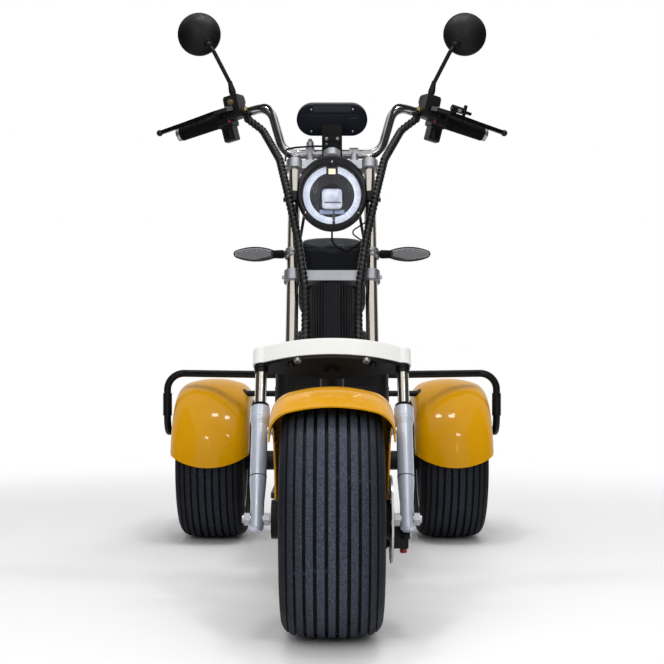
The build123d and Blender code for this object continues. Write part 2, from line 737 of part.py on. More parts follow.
def signal_outline(inset):
    root = SIGNAL_ROOT + inset
    tip = SIGNAL_TIP - inset
    rise = SIGNAL_HEIGHT / 2 - inset
    with BuildLine() as outline:
        upper = ThreePointArc((root, rise * 0.55), ((root + tip) / 2, rise), (tip - 6, rise * 0.5))
        nose = ThreePointArc(upper @ 1, (tip, 0), (tip - 6, -rise * 0.5))
        lower = ThreePointArc(nose @ 1, ((root + tip) / 2, -rise), (root, -rise * 0.55))
        Line(lower @ 1, upper @ 0)
    return outline.edges()


with BuildPart() as signal_clamps:
    with BuildSketch(fork_plane(SIGNAL_ALONG - 9)):
        with Locations((TUBE_SPREAD, -TUBE_LEAD)):
            Circle(TUBE_RADIUS + 5)
            Circle(TUBE_RADIUS + TUBE_FIT, mode=Mode.SUBTRACT)
    extrude(amount=18)
    mirror(about=Plane.YZ)

with BuildPart() as signal_bodies:
    stalk_start = signal + SIDE * (TUBE_RADIUS + 5 + SEAT_GAP)
    add(rod(stalk_start, Vector(SIGNAL_ROOT + 8, signal.Y, signal.Z), SIGNAL_STALK_RADIUS))
    with BuildSketch(signal_plane(SIGNAL_DEPTH / 2)):
        make_face(signal_outline(0))
    extrude(amount=SIGNAL_DEPTH)
    mirror(about=Plane.YZ)

with BuildPart() as signal_lenses:
    with BuildSketch(signal_plane(-SIGNAL_DEPTH / 2)):
        make_face(signal_outline(2))
    extrude(amount=SIGNAL_LENS, taper=20)
    mirror(about=Plane.YZ)

# Switch housings with the brake cylinders on top and a hanging horn button block below
with BuildPart() as control_pods:
    with BuildSketch(bar_plane(GRIP_LENGTH + 38)):
        RectangleRounded(46, 42, 9)
    extrude(amount=38 - SEAT_GAP)
    with BuildSketch(bar_plane(GRIP_LENGTH + 36)):
        with Locations((-3, -36)):
            RectangleRounded(30, 40, 6)
    extrude(amount=30)
    with BuildSketch(bar_plane(GRIP_LENGTH + 74)):
        with Locations((-20, 12)):
            RectangleRounded(44, 46, 6)
        with Locations((-16, CYLINDER_TOP - 10)):
            RectangleRounded(50, 20, 6)
    extrude(amount=36.5)
    add(rod(bar_tip - bar_way * (GRIP_LENGTH + 90), bar_tip, BAR_RADIUS + TUBE_FIT), mode=Mode.SUBTRACT)
    mirror(about=Plane.YZ)

# Brake levers ahead of the grips, each with a ball at its tip
with BuildPart() as brake_levers:
    lever_plane = Plane(
        origin=bar_tip - bar_way * (GRIP_LENGTH + 56) + Vector(0, 0, 9),
        x_dir=bar_way,
        z_dir=bar_plane(0).y_dir,
    )
    with BuildSketch(lever_plane):
        with BuildLine():
            Polyline(
                (0, -43.5),
                (-6, -58),
                (6, -66),
                (40, -70),
                (120, -60),
                (GRIP_LENGTH + 90, -54),
                (GRIP_LENGTH + 90, -46),
                (120, -50),
                (48, -56),
                (26, -52),
                (20, -43.5),
                close=True,
            )
        make_face()
    extrude(amount=5, both=True)
    with Locations(lever_plane.from_local_coords(Vector(GRIP_LENGTH + 92, -50, 0))):
        Sphere(8)
    mirror(about=Plane.YZ)

# Mirrors: bent arm and round shell, glass towards the rider
arm_foot = bar_plane(GRIP_LENGTH + 56).from_local_coords(Vector(-14, CYLINDER_TOP + SEAT_GAP, 0))
mirror_centre = arm_foot + Vector(MIRROR_OUT, MIRROR_AFT, MIRROR_RISE)
mirror_profile = Plane(origin=mirror_centre, x_dir=(1, 0, 0), z_dir=(0, 0, 1))
arm_knee = arm_foot + bar_plane(0).y_dir * 34
arm_top = mirror_centre + Vector(-38, -24, -48)
with BuildPart() as mirrors:
    add(tube([arm_foot, arm_knee, arm_top, mirror_centre + Vector(-20, -12, -24)], 12, MIRROR_ARM_RADIUS))
    with BuildSketch(mirror_profile):
        with BuildLine():
            shell = TangentArc((0, -MIRROR_DEPTH), (MIRROR_RADIUS, -2), tangent=(1, 0))
            Polyline(
                shell @ 1,
                (MIRROR_RADIUS, 4),
                (MIRROR_RADIUS - 3, 4),
                (MIRROR_RADIUS - 3, 1),
                (0, 1),
                shell @ 0,
            )
        make_face()
    revolve(axis=Axis(mirror_centre, (0, 1, 0)))
    mirror(about=Plane.YZ)

with BuildPart() as mirror_glasses:
    with BuildSketch(Plane(origin=mirror_centre + Vector(0, 1, 0), x_dir=(1, 0, 0), z_dir=(0, 1, 0))):
        Circle(MIRROR_RADIUS - 3 - GLASS_GAP)
    extrude(amount=2)
    mirror(about=Plane.YZ)

# Display on a bracket that is clamped round the middle of the bar
tilt = radians(DISPLAY_TILT)
display_way = Vector(0, cos(tilt), sin(tilt))
bracket_plane = Plane(origin=bar_mid, x_dir=(-1, 0, 0), z_dir=display_way)
display_plane = Plane(
    origin=bracket_plane.from_local_coords(Vector(0, DISPLAY_RISE, BRACKET_THICKNESS / 2 + SEAT_GAP)),
    x_dir=(-1, 0, 0),
    z_dir=display_way,
)
with BuildPart() as display:
    with BuildSketch(display_plane):
        SlotOverall(DISPLAY_WIDTH, DISPLAY_HEIGHT)
    extrude(amount=DISPLAY_DEPTH)
    fillet(display.faces().sort_by(Axis(bar_mid, display_way))[0].edges(), radius=7)
    with BuildSketch(display_plane.offset(DISPLAY_DEPTH)):
        SlotOverall(DISPLAY_WIDTH - 14, DISPLAY_HEIGHT - 14)
    extrude(amount=-2, mode=Mode.SUBTRACT)

with BuildPart() as display_bracket:
    with BuildSketch(Plane(origin=bar_mid - SIDE * 24, x_dir=(0, 1, 0), z_dir=(1, 0, 0))):
        Circle(BAR_RADIUS + 5)
    extrude(amount=48)
    with BuildSketch(bracket_plane.offset(-BRACKET_THICKNESS / 2)):
        bracket_top = DISPLAY_RISE - DISPLAY_HEIGHT / 2 + BRACKET_LAP
        with Locations((0, bracket_top / 2)):
            RectangleRounded(48, bracket_top, 8)
    extrude(amount=BRACKET_THICKNESS)
    add(rod(bar_mid - SIDE * 40, bar_mid + SIDE * 40, BAR_RADIUS + TUBE_FIT), mode=Mode.SUBTRACT)

# Wrapped cable bundles from the switch housings down past the headlight to the bridge
pod_face = bar_plane(GRIP_LENGTH + 74 + SEAT_GAP)
with BuildPart() as cable_looms:
    loom_points = [
        pod_face.from_local_coords(Vector(-14, -14, 0)),
        bar_high + Vector(16, -8, -62),
        fork_point(LIGHT_RADIUS + 43, TUBE_LEAD + 30, LIGHT_ALONG + 92),
        fork_point(LIGHT_RADIUS + 24, TUBE_LEAD + 40, LIGHT_ALONG),
        fork_point(LIGHT_RADIUS - 2, TUBE_LEAD + 34, LIGHT_ALONG - 126),
        fork_point(TUBE_SPREAD - 28, TUBE_LEAD + 24, LOWER_CLAMP - 25),
        fork_point(TUBE_SPREAD - 30, TUBE_LEAD, BRIDGE_TOP + 60),
        fork_point(TUBE_SPREAD - 30, TUBE_LEAD, BRIDGE_TOP),
    ]
    add(tube(loom_points, LOOM_BEND, LOOM_RADIUS))
    mirror(about=Plane.YZ)

# Brake hoses along the bar and down behind the headlight, and the display's wire to the right bundle
hose_top = pod_face.from_local_coords(Vector(-22, 4, -2 * SEAT_GAP))
hose_shift = Vector(0, -HOSE_STANDOFF, 0)
behind_bar = BAR_LOW[0] - 45
with BuildPart() as control_lines:
    for mirrored in (False, True):
        hose_points = [
            hose_top,
            bar_high + hose_shift,
            bar_low + hose_shift,
            fork_point(behind_bar, 3, UPPER_FACE + 14),
            fork_point(52, 3, UPPER_CLAMP - 10),
            fork_point(LIGHT_RADIUS - 6, TUBE_LEAD + 18, LIGHT_ALONG - 126),
            fork_point(66, TUBE_LEAD + 12, LOWER_CLAMP + LOWER_CLAMP_HEIGHT),
        ]
        if mirrored:
            hose_points = [twin(point) for point in hose_points]
        add(tube(hose_points, HOSE_BEND, HOSE_RADIUS))
    wire_start = bracket_plane.from_local_coords(Vector(24 + SEAT_GAP, 19, 0))
    wire_ahead = RISER_EYE + WIRE_RADIUS + 12
    loom_side = LOOM_RADIUS + WIRE_RADIUS + 4 * SEAT_GAP - LIGHT_RADIUS - 43
    add(
        tube(
            [
                wire_start,
                wire_start - SIDE * 10,
                bar_mid + Vector(-RISER_SPREAD + 4, -wire_ahead, 14),
                bar_mid + Vector(-RISER_SPREAD - 34, -wire_ahead, 11),
                fork_point(-BAR_LOW[0] + 8, TUBE_LEAD + 26, UPPER_FACE + 18),
                fork_point(loom_side, TUBE_LEAD + 30, LIGHT_ALONG + 88),
            ],
            WIRE_BEND,
            WIRE_RADIUS,
        )
    )

# Front fender, open ahead of the wheel and reaching down behind it
front_fender = make_fender(
    FRONT_AXLE, FRONT_FENDER_GAP, FRONT_FENDER_WIDTH, FRONT_FENDER_START, FRONT_FENDER_SWEEP, 0
)

# Brake caliper on the left leg, astride the disc
caliper_low = Vector(disc_outside - 16, FRONT_Y + 46, TYRE_RADIUS - 68)
caliper_high = Vector(LEG_SPREAD + 6, FRONT_Y + 96, TYRE_RADIUS - 22)
with BuildPart() as brake_caliper:
    add(block(caliper_low, caliper_high))
    add(
        block(
            Vector(LEG_SPREAD - 12, FRONT_Y - 12, TYRE_RADIUS - 40),
            Vector(LEG_SPREAD + 6, FRONT_Y + 50, TYRE_RADIUS - 22),
        )
    )
    add(
        rod(
            fork_point(LEG_SPREAD, LEG_LEAD, LEG_FOOT - 30),
            fork_point(LEG_SPREAD, LEG_LEAD, LEG_WAIST),
            LEG_FOOT_RADIUS + TUBE_FIT,
        ),
        mode=Mode.SUBTRACT,
    )
    with BuildSketch(side_plane(FRONT_HUB_LEFT - CALIPER_GAP, FRONT_AXLE)):
        Circle(DISC_RADIUS + CALIPER_GAP)
    extrude(amount=DISC_THICKNESS + 2 * CALIPER_GAP, mode=Mode.SUBTRACT)
    cap_top = Vector(LEG_SPREAD - 4, FRONT_Y + 58, TYRE_RADIUS - 68)
    add(rod(cap_top, cap_top - Vector(0, 0, 10), 7))

# Rear fenders: rounded channels whose front edge hangs in a bow
rear_fender_size = (REAR_FENDER_GAP, REAR_FENDER_WIDTH, REAR_FENDER_START, REAR_FENDER_SWEEP, REAR_FENDER_BOW)
rear_fender_left = make_fender(left_centre, *rear_fender_size)
rear_fender_right = make_fender(right_centre, *rear_fender_size)

# Frame neck: head tube and a bent down tube that stands on the front cross member
with BuildPart() as frame_neck:
    add(
        tube(
            [
                fork_point(0, 0, (HEAD_TUBE_BOTTOM + HEAD_TUBE_TOP) / 2 + 10),
                fork_point(0, 0, HEAD_TUBE_BOTTOM) + Vector(0, 130, 23),
                spot(0, RAIL_FRONT - 33, RAIL_TOP + 185),
                spot(0, RAIL_FRONT + 31, RAIL_TOP - 30),
            ],
            55,
            DOWN_TUBE_RADIUS,
        )
    )
    split(bisect_by=Plane(origin=(0, 0, RAIL_TOP), z_dir=(0, 0, 1)))
    add(rod(fork_point(0, 0, HEAD_TUBE_BOTTOM), fork_point(0, 0, HEAD_TUBE_TOP), HEAD_TUBE_RADIUS))
    add(
        rod(
            fork_point(0, 0, HEAD_TUBE_BOTTOM - 20),
            fork_point(0, 0, HEAD_TUBE_TOP + 20),
            STEM_RADIUS + RUNNING_GAP,
        ),
        mode=Mode.SUBTRACT,
    )

# Ribbed cover round the front of the head tube
with BuildPart() as neck_cover:
    with BuildSketch(fork_plane(HEAD_TUBE_BOTTOM + 2)):
        Circle(NECK_RADIUS - NECK_RIB_RADIUS)
        rib_ring = NECK_RADIUS - NECK_RIB_RADIUS
        with PolarLocations(rib_ring, NECK_RIB_COUNT, start_angle=175, angular_range=190):
            Circle(NECK_RIB_RADIUS)
        with Locations((0, NECK_RADIUS)):
            Rectangle(2 * NECK_RADIUS + 10, 2 * NECK_RADIUS + 2, mode=Mode.SUBTRACT)
        Circle(HEAD_TUBE_RADIUS + TUBE_FIT, mode=Mode.SUBTRACT)
    extrude(amount=HEAD_LENGTH - 4)

# Ladder frame under the deck and the box
with BuildPart() as frame_rails:
    for side in (-1, 1):
        inner = side * RAIL_SPREAD - RAIL_WIDTH / 2
        add(
            block(
                Vector(inner, FRONT_Y + RAIL_FRONT, RAIL_TOP - RAIL_HEIGHT),
                Vector(inner + RAIL_WIDTH, FRONT_Y + BOX_REAR, RAIL_TOP),
            )
        )
    for start in (RAIL_FRONT, BOX_FRONT, BOX_REAR - RAIL_WIDTH):
        wide = 60 if start == RAIL_FRONT else RAIL_WIDTH
        add(
            block(
                Vector(-RAIL_SPREAD, FRONT_Y + start, RAIL_TOP - RAIL_HEIGHT),
                Vector(RAIL_SPREAD, FRONT_Y + start + wide, RAIL_TOP),
            )
        )

with BuildPart() as battery_box:
    add(
        block(
            Vector(-BATTERY_WIDTH / 2, FRONT_Y + BATTERY_FRONT, RAIL_TOP - RAIL_HEIGHT - BATTERY_HEIGHT),
            Vector(BATTERY_WIDTH / 2, FRONT_Y + BATTERY_REAR, RAIL_TOP - RAIL_HEIGHT),
        )
    )
    fillet(battery_box.edges().filter_by(Axis.Z), radius=16)

# Foot deck with a notch for the down tube
deck_length = BOX_FRONT - DECK_FRONT
with BuildPart() as deck:
    with BuildSketch(Plane(origin=spot(0, DECK_FRONT + deck_length / 2, RAIL_TOP))):
        RectangleRounded(DECK_WIDTH, deck_length - 2 * SEAT_GAP, 28)
        with Locations((0, -deck_length / 2)):
            SlotOverall(2 * NOTCH_DEPTH, 2 * DOWN_TUBE_RADIUS + 8, rotation=90, mode=Mode.SUBTRACT)
    extrude(amount=DECK_THICKNESS)
    fillet(deck.faces().sort_by(Axis.Z)[-1].edges(), radius=4)

# Box under the seat, hollow, with the charge inlet on its left side
with BuildPart() as seat_box:
    with BuildSketch(Plane(origin=spot(0, (BOX_FRONT + BOX_REAR) / 2, RAIL_TOP))):
        RectangleRounded(BOX_WIDTH, BOX_REAR - BOX_FRONT, BOX_CORNER)
    extrude(amount=BOX_TOP - RAIL_TOP)
    offset(amount=-BOX_WALL, openings=seat_box.faces().sort_by(Axis.Z)[-1])
    inlet = spot(BOX_WIDTH / 2, INLET_BACK, INLET_HEIGHT)
    add(rod(inlet - SIDE * (INLET_DEPTH + 4), inlet + SIDE * 4, INLET_RADIUS + 7))
    add(rod(inlet - SIDE * (INLET_DEPTH - 4), inlet + SIDE * 4, INLET_RADIUS), mode=Mode.SUBTRACT)

# Rails behind the box with the bar that carries the rear fenders
fender_reach = REAR_TRACK / 2 - REAR_FENDER_WIDTH / 2 + FENDER_CORNER
with BuildPart() as subframe:
    for side in (-1, 1):
        rail_x = side * SUBFRAME_SPREAD
        add(
            rod(
                spot(rail_x, BOX_REAR, SUBFRAME_HEIGHT),
                spot(rail_x, SUBFRAME_REAR, SUBFRAME_HEIGHT),
                SUBFRAME_RADIUS,
            )
        )
        add(
            block(
                spot(rail_x - 4, CROSSBAR_BACK - 8, CROSSBAR_HEIGHT),
                spot(rail_x + 4, CROSSBAR_BACK + 8, SUBFRAME_HEIGHT),
            )
        )
    add(
        rod(
            spot(-SUBFRAME_SPREAD - SUBFRAME_RADIUS, SUBFRAME_REAR, SUBFRAME_HEIGHT),
            spot(SUBFRAME_SPREAD + SUBFRAME_RADIUS, SUBFRAME_REAR, SUBFRAME_HEIGHT),
            SUBFRAME_RADIUS,
        )
    )
    add(
        rod(
            spot(-fender_reach, CROSSBAR_BACK, CROSSBAR_HEIGHT),
            spot(fender_reach, CROSSBAR_BACK, CROSSBAR_HEIGHT),
            CROSSBAR_RADIUS,
        )
    )
    for centre in (left_centre, right_centre):
        seat_width = REAR_FENDER_WIDTH + 2 * SEAT_GAP
        seat_height = REAR_FENDER_GAP + FENDER_WALL + SEAT_GAP
        skin = fender_core(centre, seat_height, seat_width, REAR_FENDER_START, REAR_FENDER_SWEEP)
        add(skin, mode=Mode.SUBTRACT)

# Guard tubes round the outside of the rear fenders, closed by a bumper behind
guard_end = WHEELBASE + REAR_OVERHANG - GUARD_RADIUS
guard_joint = guard_end - 70
with BuildPart() as guard_hoops:
    add(
        tube(
            [
                spot(BOX_WIDTH / 2 + SEAT_GAP, BOX_REAR - 40, GUARD_TOP),
                spot(BOX_WIDTH / 2 + 40, BOX_REAR - 40, GUARD_TOP),
                spot(GUARD_SPREAD - 60, GUARD_BACK, GUARD_TOP),
                spot(GUARD_SPREAD, GUARD_BACK, GUARD_TOP),
                spot(GUARD_SPREAD, GUARD_BACK, GUARD_LOW),
                spot(GUARD_SPREAD, guard_joint, GUARD_LOW),
            ],
            GUARD_CORNER,
            GUARD_RADIUS,
        )
    )
    mirror(about=Plane.YZ)

with BuildPart() as rear_bumper:
    add(
        tube(
            [
                spot(-GUARD_SPREAD, guard_joint, GUARD_LOW),
                spot(-GUARD_SPREAD, guard_end, GUARD_LOW),
                spot(GUARD_SPREAD, guard_end, GUARD_LOW),
                spot(GUARD_SPREAD, guard_joint, GUARD_LOW),
            ],
            GUARD_BEND,
            GUARD_RADIUS,
        )
    )

# Rear axle with trailing arms; the motor sits between the arms
pivot_back = BOX_REAR + ARM_RADIUS + SEAT_GAP
hub_inner = REAR_TRACK / 2 - REAR_HUB_HALF
hub_outer = REAR_TRACK / 2 + REAR_HUB_HALF
with BuildPart() as rear_axle:
    for side in (-1, 1):
        arm_x = side * SUBFRAME_SPREAD
        add(rod(spot(arm_x, pivot_back, RAIL_TOP - 20), REAR_AXLE + SIDE * arm_x, ARM_RADIUS))
        tube_end = REAR_AXLE + SIDE * side * (hub_inner - 1)
        add(rod(REAR_AXLE + SIDE * side * MOTOR_WIDTH / 2, tube_end, AXLE_TUBE_RADIUS))
        add(rod(tube_end, REAR_AXLE + SIDE * side * (hub_outer + NUT_HEIGHT + 10), SPINDLE_RADIUS))
        with BuildSketch(side_plane(side * (hub_outer + NUT_HEIGHT / 2 + 1), REAR_AXLE)):
            RegularPolygon(NUT_FLATS / 2 + 6, 6, major_radius=False)
        extrude(amount=NUT_HEIGHT / 2, both=True)
    add(
        rod(
            spot(-SUBFRAME_SPREAD - ARM_RADIUS, pivot_back, RAIL_TOP - 20),
            spot(SUBFRAME_SPREAD + ARM_RADIUS, pivot_back, RAIL_TOP - 20),
            ARM_RADIUS,
        )
    )

with BuildPart() as drive_unit:
    add(
        rod(
            spot(-MOTOR_WIDTH / 2, WHEELBASE, TYRE_RADIUS),
            spot(MOTOR_WIDTH / 2, WHEELBASE, TYRE_RADIUS),
            MOTOR_RADIUS,
        )
    )
    fillet(drive_unit.edges().filter_by(GeomType.CIRCLE), radius=10)

# Spring struts between the axle and the subframe rails
strut_foot = spot(SUBFRAME_SPREAD, WHEELBASE - 14, TYRE_RADIUS + AXLE_TUBE_RADIUS + SEAT_GAP)
strut_head = spot(SUBFRAME_SPREAD, SUBFRAME_REAR - 22, SUBFRAME_HEIGHT - SUBFRAME_RADIUS - 2)
strut_way = (strut_head - strut_foot).normalized()
with BuildPart() as spring_struts:
    add(rod(strut_foot, strut_head, 9))
    add(rod(strut_foot + strut_way * 22, strut_head - strut_way * 22, SHOCK_RADIUS))
    mirror(about=Plane.YZ)

# Seat with a raised rear half, and the backrest on two posts
with BuildPart() as seat:
    seat_low = BOX_TOP + SEAT_GAP
    with BuildSketch(Plane(origin=spot(0, 0, 0), x_dir=(0, 1, 0), z_dir=(1, 0, 0))):
        with BuildLine():
            Polyline(
                (BOX_FRONT - 40, seat_low),
                (BOX_FRONT - 50, seat_low + 30),
                (BOX_FRONT - 24, seat_low + 62),
                (BOX_FRONT + 120, seat_low + 60),
                (BOX_FRONT + 230, seat_low + 66),
                (BOX_FRONT + 285, seat_low + 98),
                (SUBFRAME_REAR - 110, seat_low + 100),
                (SUBFRAME_REAR - 68, seat_low + 76),
                (SUBFRAME_REAR - 64, seat_low),
                close=True,
            )
        make_face()
    extrude(amount=SEAT_WIDTH / 2, both=True)
    long_edges = seat.faces().sort_by(Axis.X)[0].edges() + seat.faces().sort_by(Axis.X)[-1].edges()
    fillet([edge for edge in long_edges if edge.center().Z > seat_low + 20], radius=SEAT_ROUND)

pad_back = SUBFRAME_REAR - BACKREST_POST_RADIUS - SEAT_GAP
with BuildPart() as backrest:
    add(
        block(
            spot(-BACKREST_WIDTH / 2, pad_back - BACKREST_THICKNESS, BACKREST_BOTTOM),
            spot(BACKREST_WIDTH / 2, pad_back, BACKREST_TOP),
        )
    )
    fillet(backrest.edges().filter_by(Axis.Y), radius=30)
    fillet(backrest.faces().sort_by(Axis.Y)[0].edges(), radius=18)

with BuildPart() as backrest_posts:
    post_foot = SUBFRAME_HEIGHT + SUBFRAME_RADIUS + SEAT_GAP
    for side in (-1, 1):
        post_x = side * BACKREST_POST_SPREAD
        add(
            rod(
                spot(post_x, SUBFRAME_REAR, post_foot),
                spot(post_x, SUBFRAME_REAR, BACKREST_TOP - 50),
                BACKREST_POST_RADIUS,
            )
        )
    add(
        rod(
            spot(-BACKREST_POST_SPREAD, SUBFRAME_REAR, BACKREST_BOTTOM + 60),
            spot(BACKREST_POST_SPREAD, SUBFRAME_REAR, BACKREST_BOTTOM + 60),
            BACKREST_POST_RADIUS - 2,
        )
    )

with BuildPart() as tail_light:
    add(
        block(
            spot(-80, SUBFRAME_REAR + SUBFRAME_RADIUS + SEAT_GAP, SUBFRAME_HEIGHT - 22),
            spot(80, SUBFRAME_REAR + SUBFRAME_RADIUS + 30, SUBFRAME_HEIGHT + 22),
        )
    )
    fillet(tail_light.edges().filter_by(Axis.Y), radius=12)
    fillet(tail_light.faces().sort_by(Axis.Y)[-1].edges(), radius=6)

PIECES = {
    "front_tyre": front_tyre,
    "front_rim": front_rim,
    "front_disc": front_disc,
    "rear_tyre_left": rear_tyre_left,
    "rear_tyre_right": rear_tyre_right,
    "rear_rim_left": rear_rim_left,
    "rear_rim_right": rear_rim_right,
    "front_axle": front_axle,
    "fork_legs": fork_legs,
    "fork_tubes": fork_tubes,
    "fork_plate": fork_plate,
    "fork_plate_base": fork_plate_base,
    "lower_clamp": lower_clamp,
    "upper_clamp": upper_clamp,
    "steering_stem": steering_stem,
    "handlebar": handlebar,
    "grips": grips,
    "bar_risers": bar_risers,
    "key_switch": key_switch,
    "headlight_bucket": headlight_bucket,
    "headlight_ring": headlight_ring,
    "headlight_projector": headlight_projector,
    "headlight_lens": headlight_lens,
    "headlight_straps": headlight_straps,
    "signal_clamps": signal_clamps,
    "signal_bodies": signal_bodies,
    "signal_lenses": signal_lenses,
    "control_pods": control_pods,
    "brake_levers": brake_levers,
    "mirrors": mirrors,
    "mirror_glasses": mirror_glasses,
    "display": display,
    "display_bracket": display_bracket,
    "cable_looms": cable_looms,
    "control_lines": control_lines,
    "front_fender": front_fender,
    "brake_caliper": brake_caliper,
    "rear_fender_left": rear_fender_left,
    "rear_fender_right": rear_fender_right,
    "frame_neck": frame_neck,
    "neck_cover": neck_cover,
    "frame_rails": frame_rails,
    "battery_box": battery_box,
    "deck": deck,
    "seat_box": seat_box,
    "subframe": subframe,
    "guard_hoops": guard_hoops,
    "rear_bumper": rear_bumper,
    "rear_axle": rear_axle,
    "drive_unit": drive_unit,
    "spring_struts": spring_struts,
    "seat": seat,
    "backrest": backrest,
    "backrest_posts": backrest_posts,
    "tail_light": tail_light,
}

os.makedirs("parts", exist_ok=True)
for label, piece in PIECES.items():
    piece.part.label = label
    export_step(piece.part, f"parts/{label}.step")
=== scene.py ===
"""Looks of the three-wheeled electric scooter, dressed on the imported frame.

Metres, +Z up, the scooter faces -Y. Sizes in millimetres are turned into metres by the helpers.
"""

import itertools
import math
import random

import bmesh
import bpy
from mathutils import Matrix, Vector


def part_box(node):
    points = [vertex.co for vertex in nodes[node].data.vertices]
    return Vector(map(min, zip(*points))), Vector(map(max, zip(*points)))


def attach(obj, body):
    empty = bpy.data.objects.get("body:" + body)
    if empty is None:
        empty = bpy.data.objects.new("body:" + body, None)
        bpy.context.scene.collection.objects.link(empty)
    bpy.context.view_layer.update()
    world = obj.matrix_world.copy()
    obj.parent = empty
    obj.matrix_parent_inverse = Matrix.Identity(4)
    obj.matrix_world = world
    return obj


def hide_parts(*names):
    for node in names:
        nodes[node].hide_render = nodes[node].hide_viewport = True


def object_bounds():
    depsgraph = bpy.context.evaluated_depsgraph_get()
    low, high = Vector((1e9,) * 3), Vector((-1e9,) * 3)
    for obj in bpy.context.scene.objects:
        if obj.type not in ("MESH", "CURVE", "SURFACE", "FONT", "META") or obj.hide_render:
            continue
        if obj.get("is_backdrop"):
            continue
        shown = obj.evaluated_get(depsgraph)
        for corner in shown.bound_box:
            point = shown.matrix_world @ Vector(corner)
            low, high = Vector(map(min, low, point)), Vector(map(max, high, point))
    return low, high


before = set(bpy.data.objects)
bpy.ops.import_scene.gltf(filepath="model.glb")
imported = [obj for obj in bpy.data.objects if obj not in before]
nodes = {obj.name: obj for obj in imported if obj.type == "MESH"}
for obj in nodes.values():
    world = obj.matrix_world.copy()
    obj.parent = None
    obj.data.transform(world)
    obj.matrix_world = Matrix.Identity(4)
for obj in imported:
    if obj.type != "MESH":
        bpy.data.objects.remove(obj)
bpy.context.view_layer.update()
dice = random.Random(11)

# Places of the frame, in millimetres
MM = 0.001
AXLE_Y = -701.0
WHEELBASE, HALF_TRACK = 1320.0, 364.0
TYRE_RADIUS = 238.0
RAKE = math.radians(27.0)
LEG_LEAD, LEG_SPREAD = 8.0, 154.0
TUBE_LEAD, TUBE_SPREAD = 36.0, 88.0
LIGHT_ALONG, SIGNAL_ALONG = 765.7, 618.0
GRIP_LENGTH = 108.0
AXIS = Vector((0.0, math.sin(RAKE), math.cos(RAKE)))
FORWARD = Vector((0.0, -math.cos(RAKE), math.sin(RAKE)))
SIDE = Vector((1.0, 0.0, 0.0))
UP = Vector((0.0, 0.0, 1.0))
AHEAD = Vector((0.0, -1.0, 0.0))


def spot(x, back, z):
    """A point given by side offset, distance behind the front axle and height."""
    return Vector((x, AXLE_Y + back, z)) * MM


def fork(x, lead, along):
    """A point in the fork: side offset, lead ahead of the steering axis, way up that axis."""
    return spot(0, 0, TYRE_RADIUS) + (SIDE * x + FORWARD * (lead - LEG_LEAD) + AXIS * along) * MM


CLAMP_TOP = fork(0, TUBE_LEAD, 872)
BAR_LOW = CLAMP_TOP + Vector((0.115, 0.0301, 0.0233))
BAR_HIGH = CLAMP_TOP + Vector((0.150, 0.0611, 0.1463))
BAR_TIP = CLAMP_TOP + Vector((0.372, 0.1461, 0.0913))
BAR_WAY = (BAR_TIP - BAR_HIGH).normalized()
BAR_BACK = (Vector((0, 1, 0)) - BAR_WAY * BAR_WAY.y).normalized()
BAR_UP = BAR_WAY.cross(BAR_BACK)
LIGHT = fork(0, TUBE_LEAD, LIGHT_ALONG) - Vector((0, 0.1007, 0))


def bar_point(inward, back, up):
    """A point by the left grip: distance in from the bar's tip, backwards and upwards off the bar."""
    return BAR_TIP - BAR_WAY * inward * MM + BAR_BACK * back * MM + BAR_UP * up * MM


def twin(point):
    """The same point on the other side."""
    return Vector((-point.x, point.y, point.z))


# Mesh helpers: each returns a list of points and a list of faces
def basis(axis):
    """Two directions square to an axis."""
    axis = axis.normalized()
    first = axis.orthogonal().normalized() if abs(axis.x) > 0.9 else (SIDE - axis * axis.x).normalized()
    return first, axis.cross(first)


def lathe(profile, origin, axis, segments=24):
    """A turned form; the profile is a list of (radius, height) in millimetres."""
    axis = axis.normalized()
    first, second = basis(axis)
    points, faces, rings = [], [], []
    for radius, height in profile:
        centre = origin + axis * height * MM
        if radius < 1e-6:
            rings.append([len(points)])
            points.append(centre)
            continue
        ring = []
        for step in range(segments):
            turn = math.tau * step / segments
            ring.append(len(points))
            points.append(centre + (first * math.cos(turn) + second * math.sin(turn)) * radius * MM)
        rings.append(ring)
    for low, high in zip(rings, rings[1:]):
        for step in range(segments):
            after = (step + 1) % segments
            if len(low) == 1 and len(high) > 1:
                faces.append((low[0], high[after], high[step]))
            elif len(high) == 1 and len(low) > 1:
                faces.append((low[step], low[after], high[0]))
            elif len(low) > 1:
                faces.append((low[step], low[after], high[after], high[step]))
    return points, faces


def rounded(points, bend, steps=6):
    """A run of points with its corners turned into arcs of one radius, in metres."""
    path = [points[0]]
    for before, corner, after in zip(points, points[1:], points[2:]):
        u, v = (before - corner).normalized(), (after - corner).normalized()
        opening = u.angle(v)
        if math.pi - opening < 0.02:
            path.append(corner)
            continue
        start = corner + u * bend / math.tan(opening / 2)
        centre = corner + (u + v).normalized() * bend / math.sin(opening / 2)
        hinge = u.cross(v).normalized()
        for step in range(steps + 1):
            turn = Matrix.Rotation(-(math.pi - opening) * step / steps, 3, hinge)
            path.append(centre + turn @ (start - centre))
    path.append(points[-1])
    return path


def resample(path, spacing):
    """Points at an even spacing along a run."""
    result, carried = [path[0]], 0.0
    for low, high in zip(path, path[1:]):
        length = (high - low).length
        place = spacing - carried
        while place < length:
            result.append(low.lerp(high, place / length))
            place += spacing
        carried = length - (place - spacing)
    result.append(path[-1])
    return result


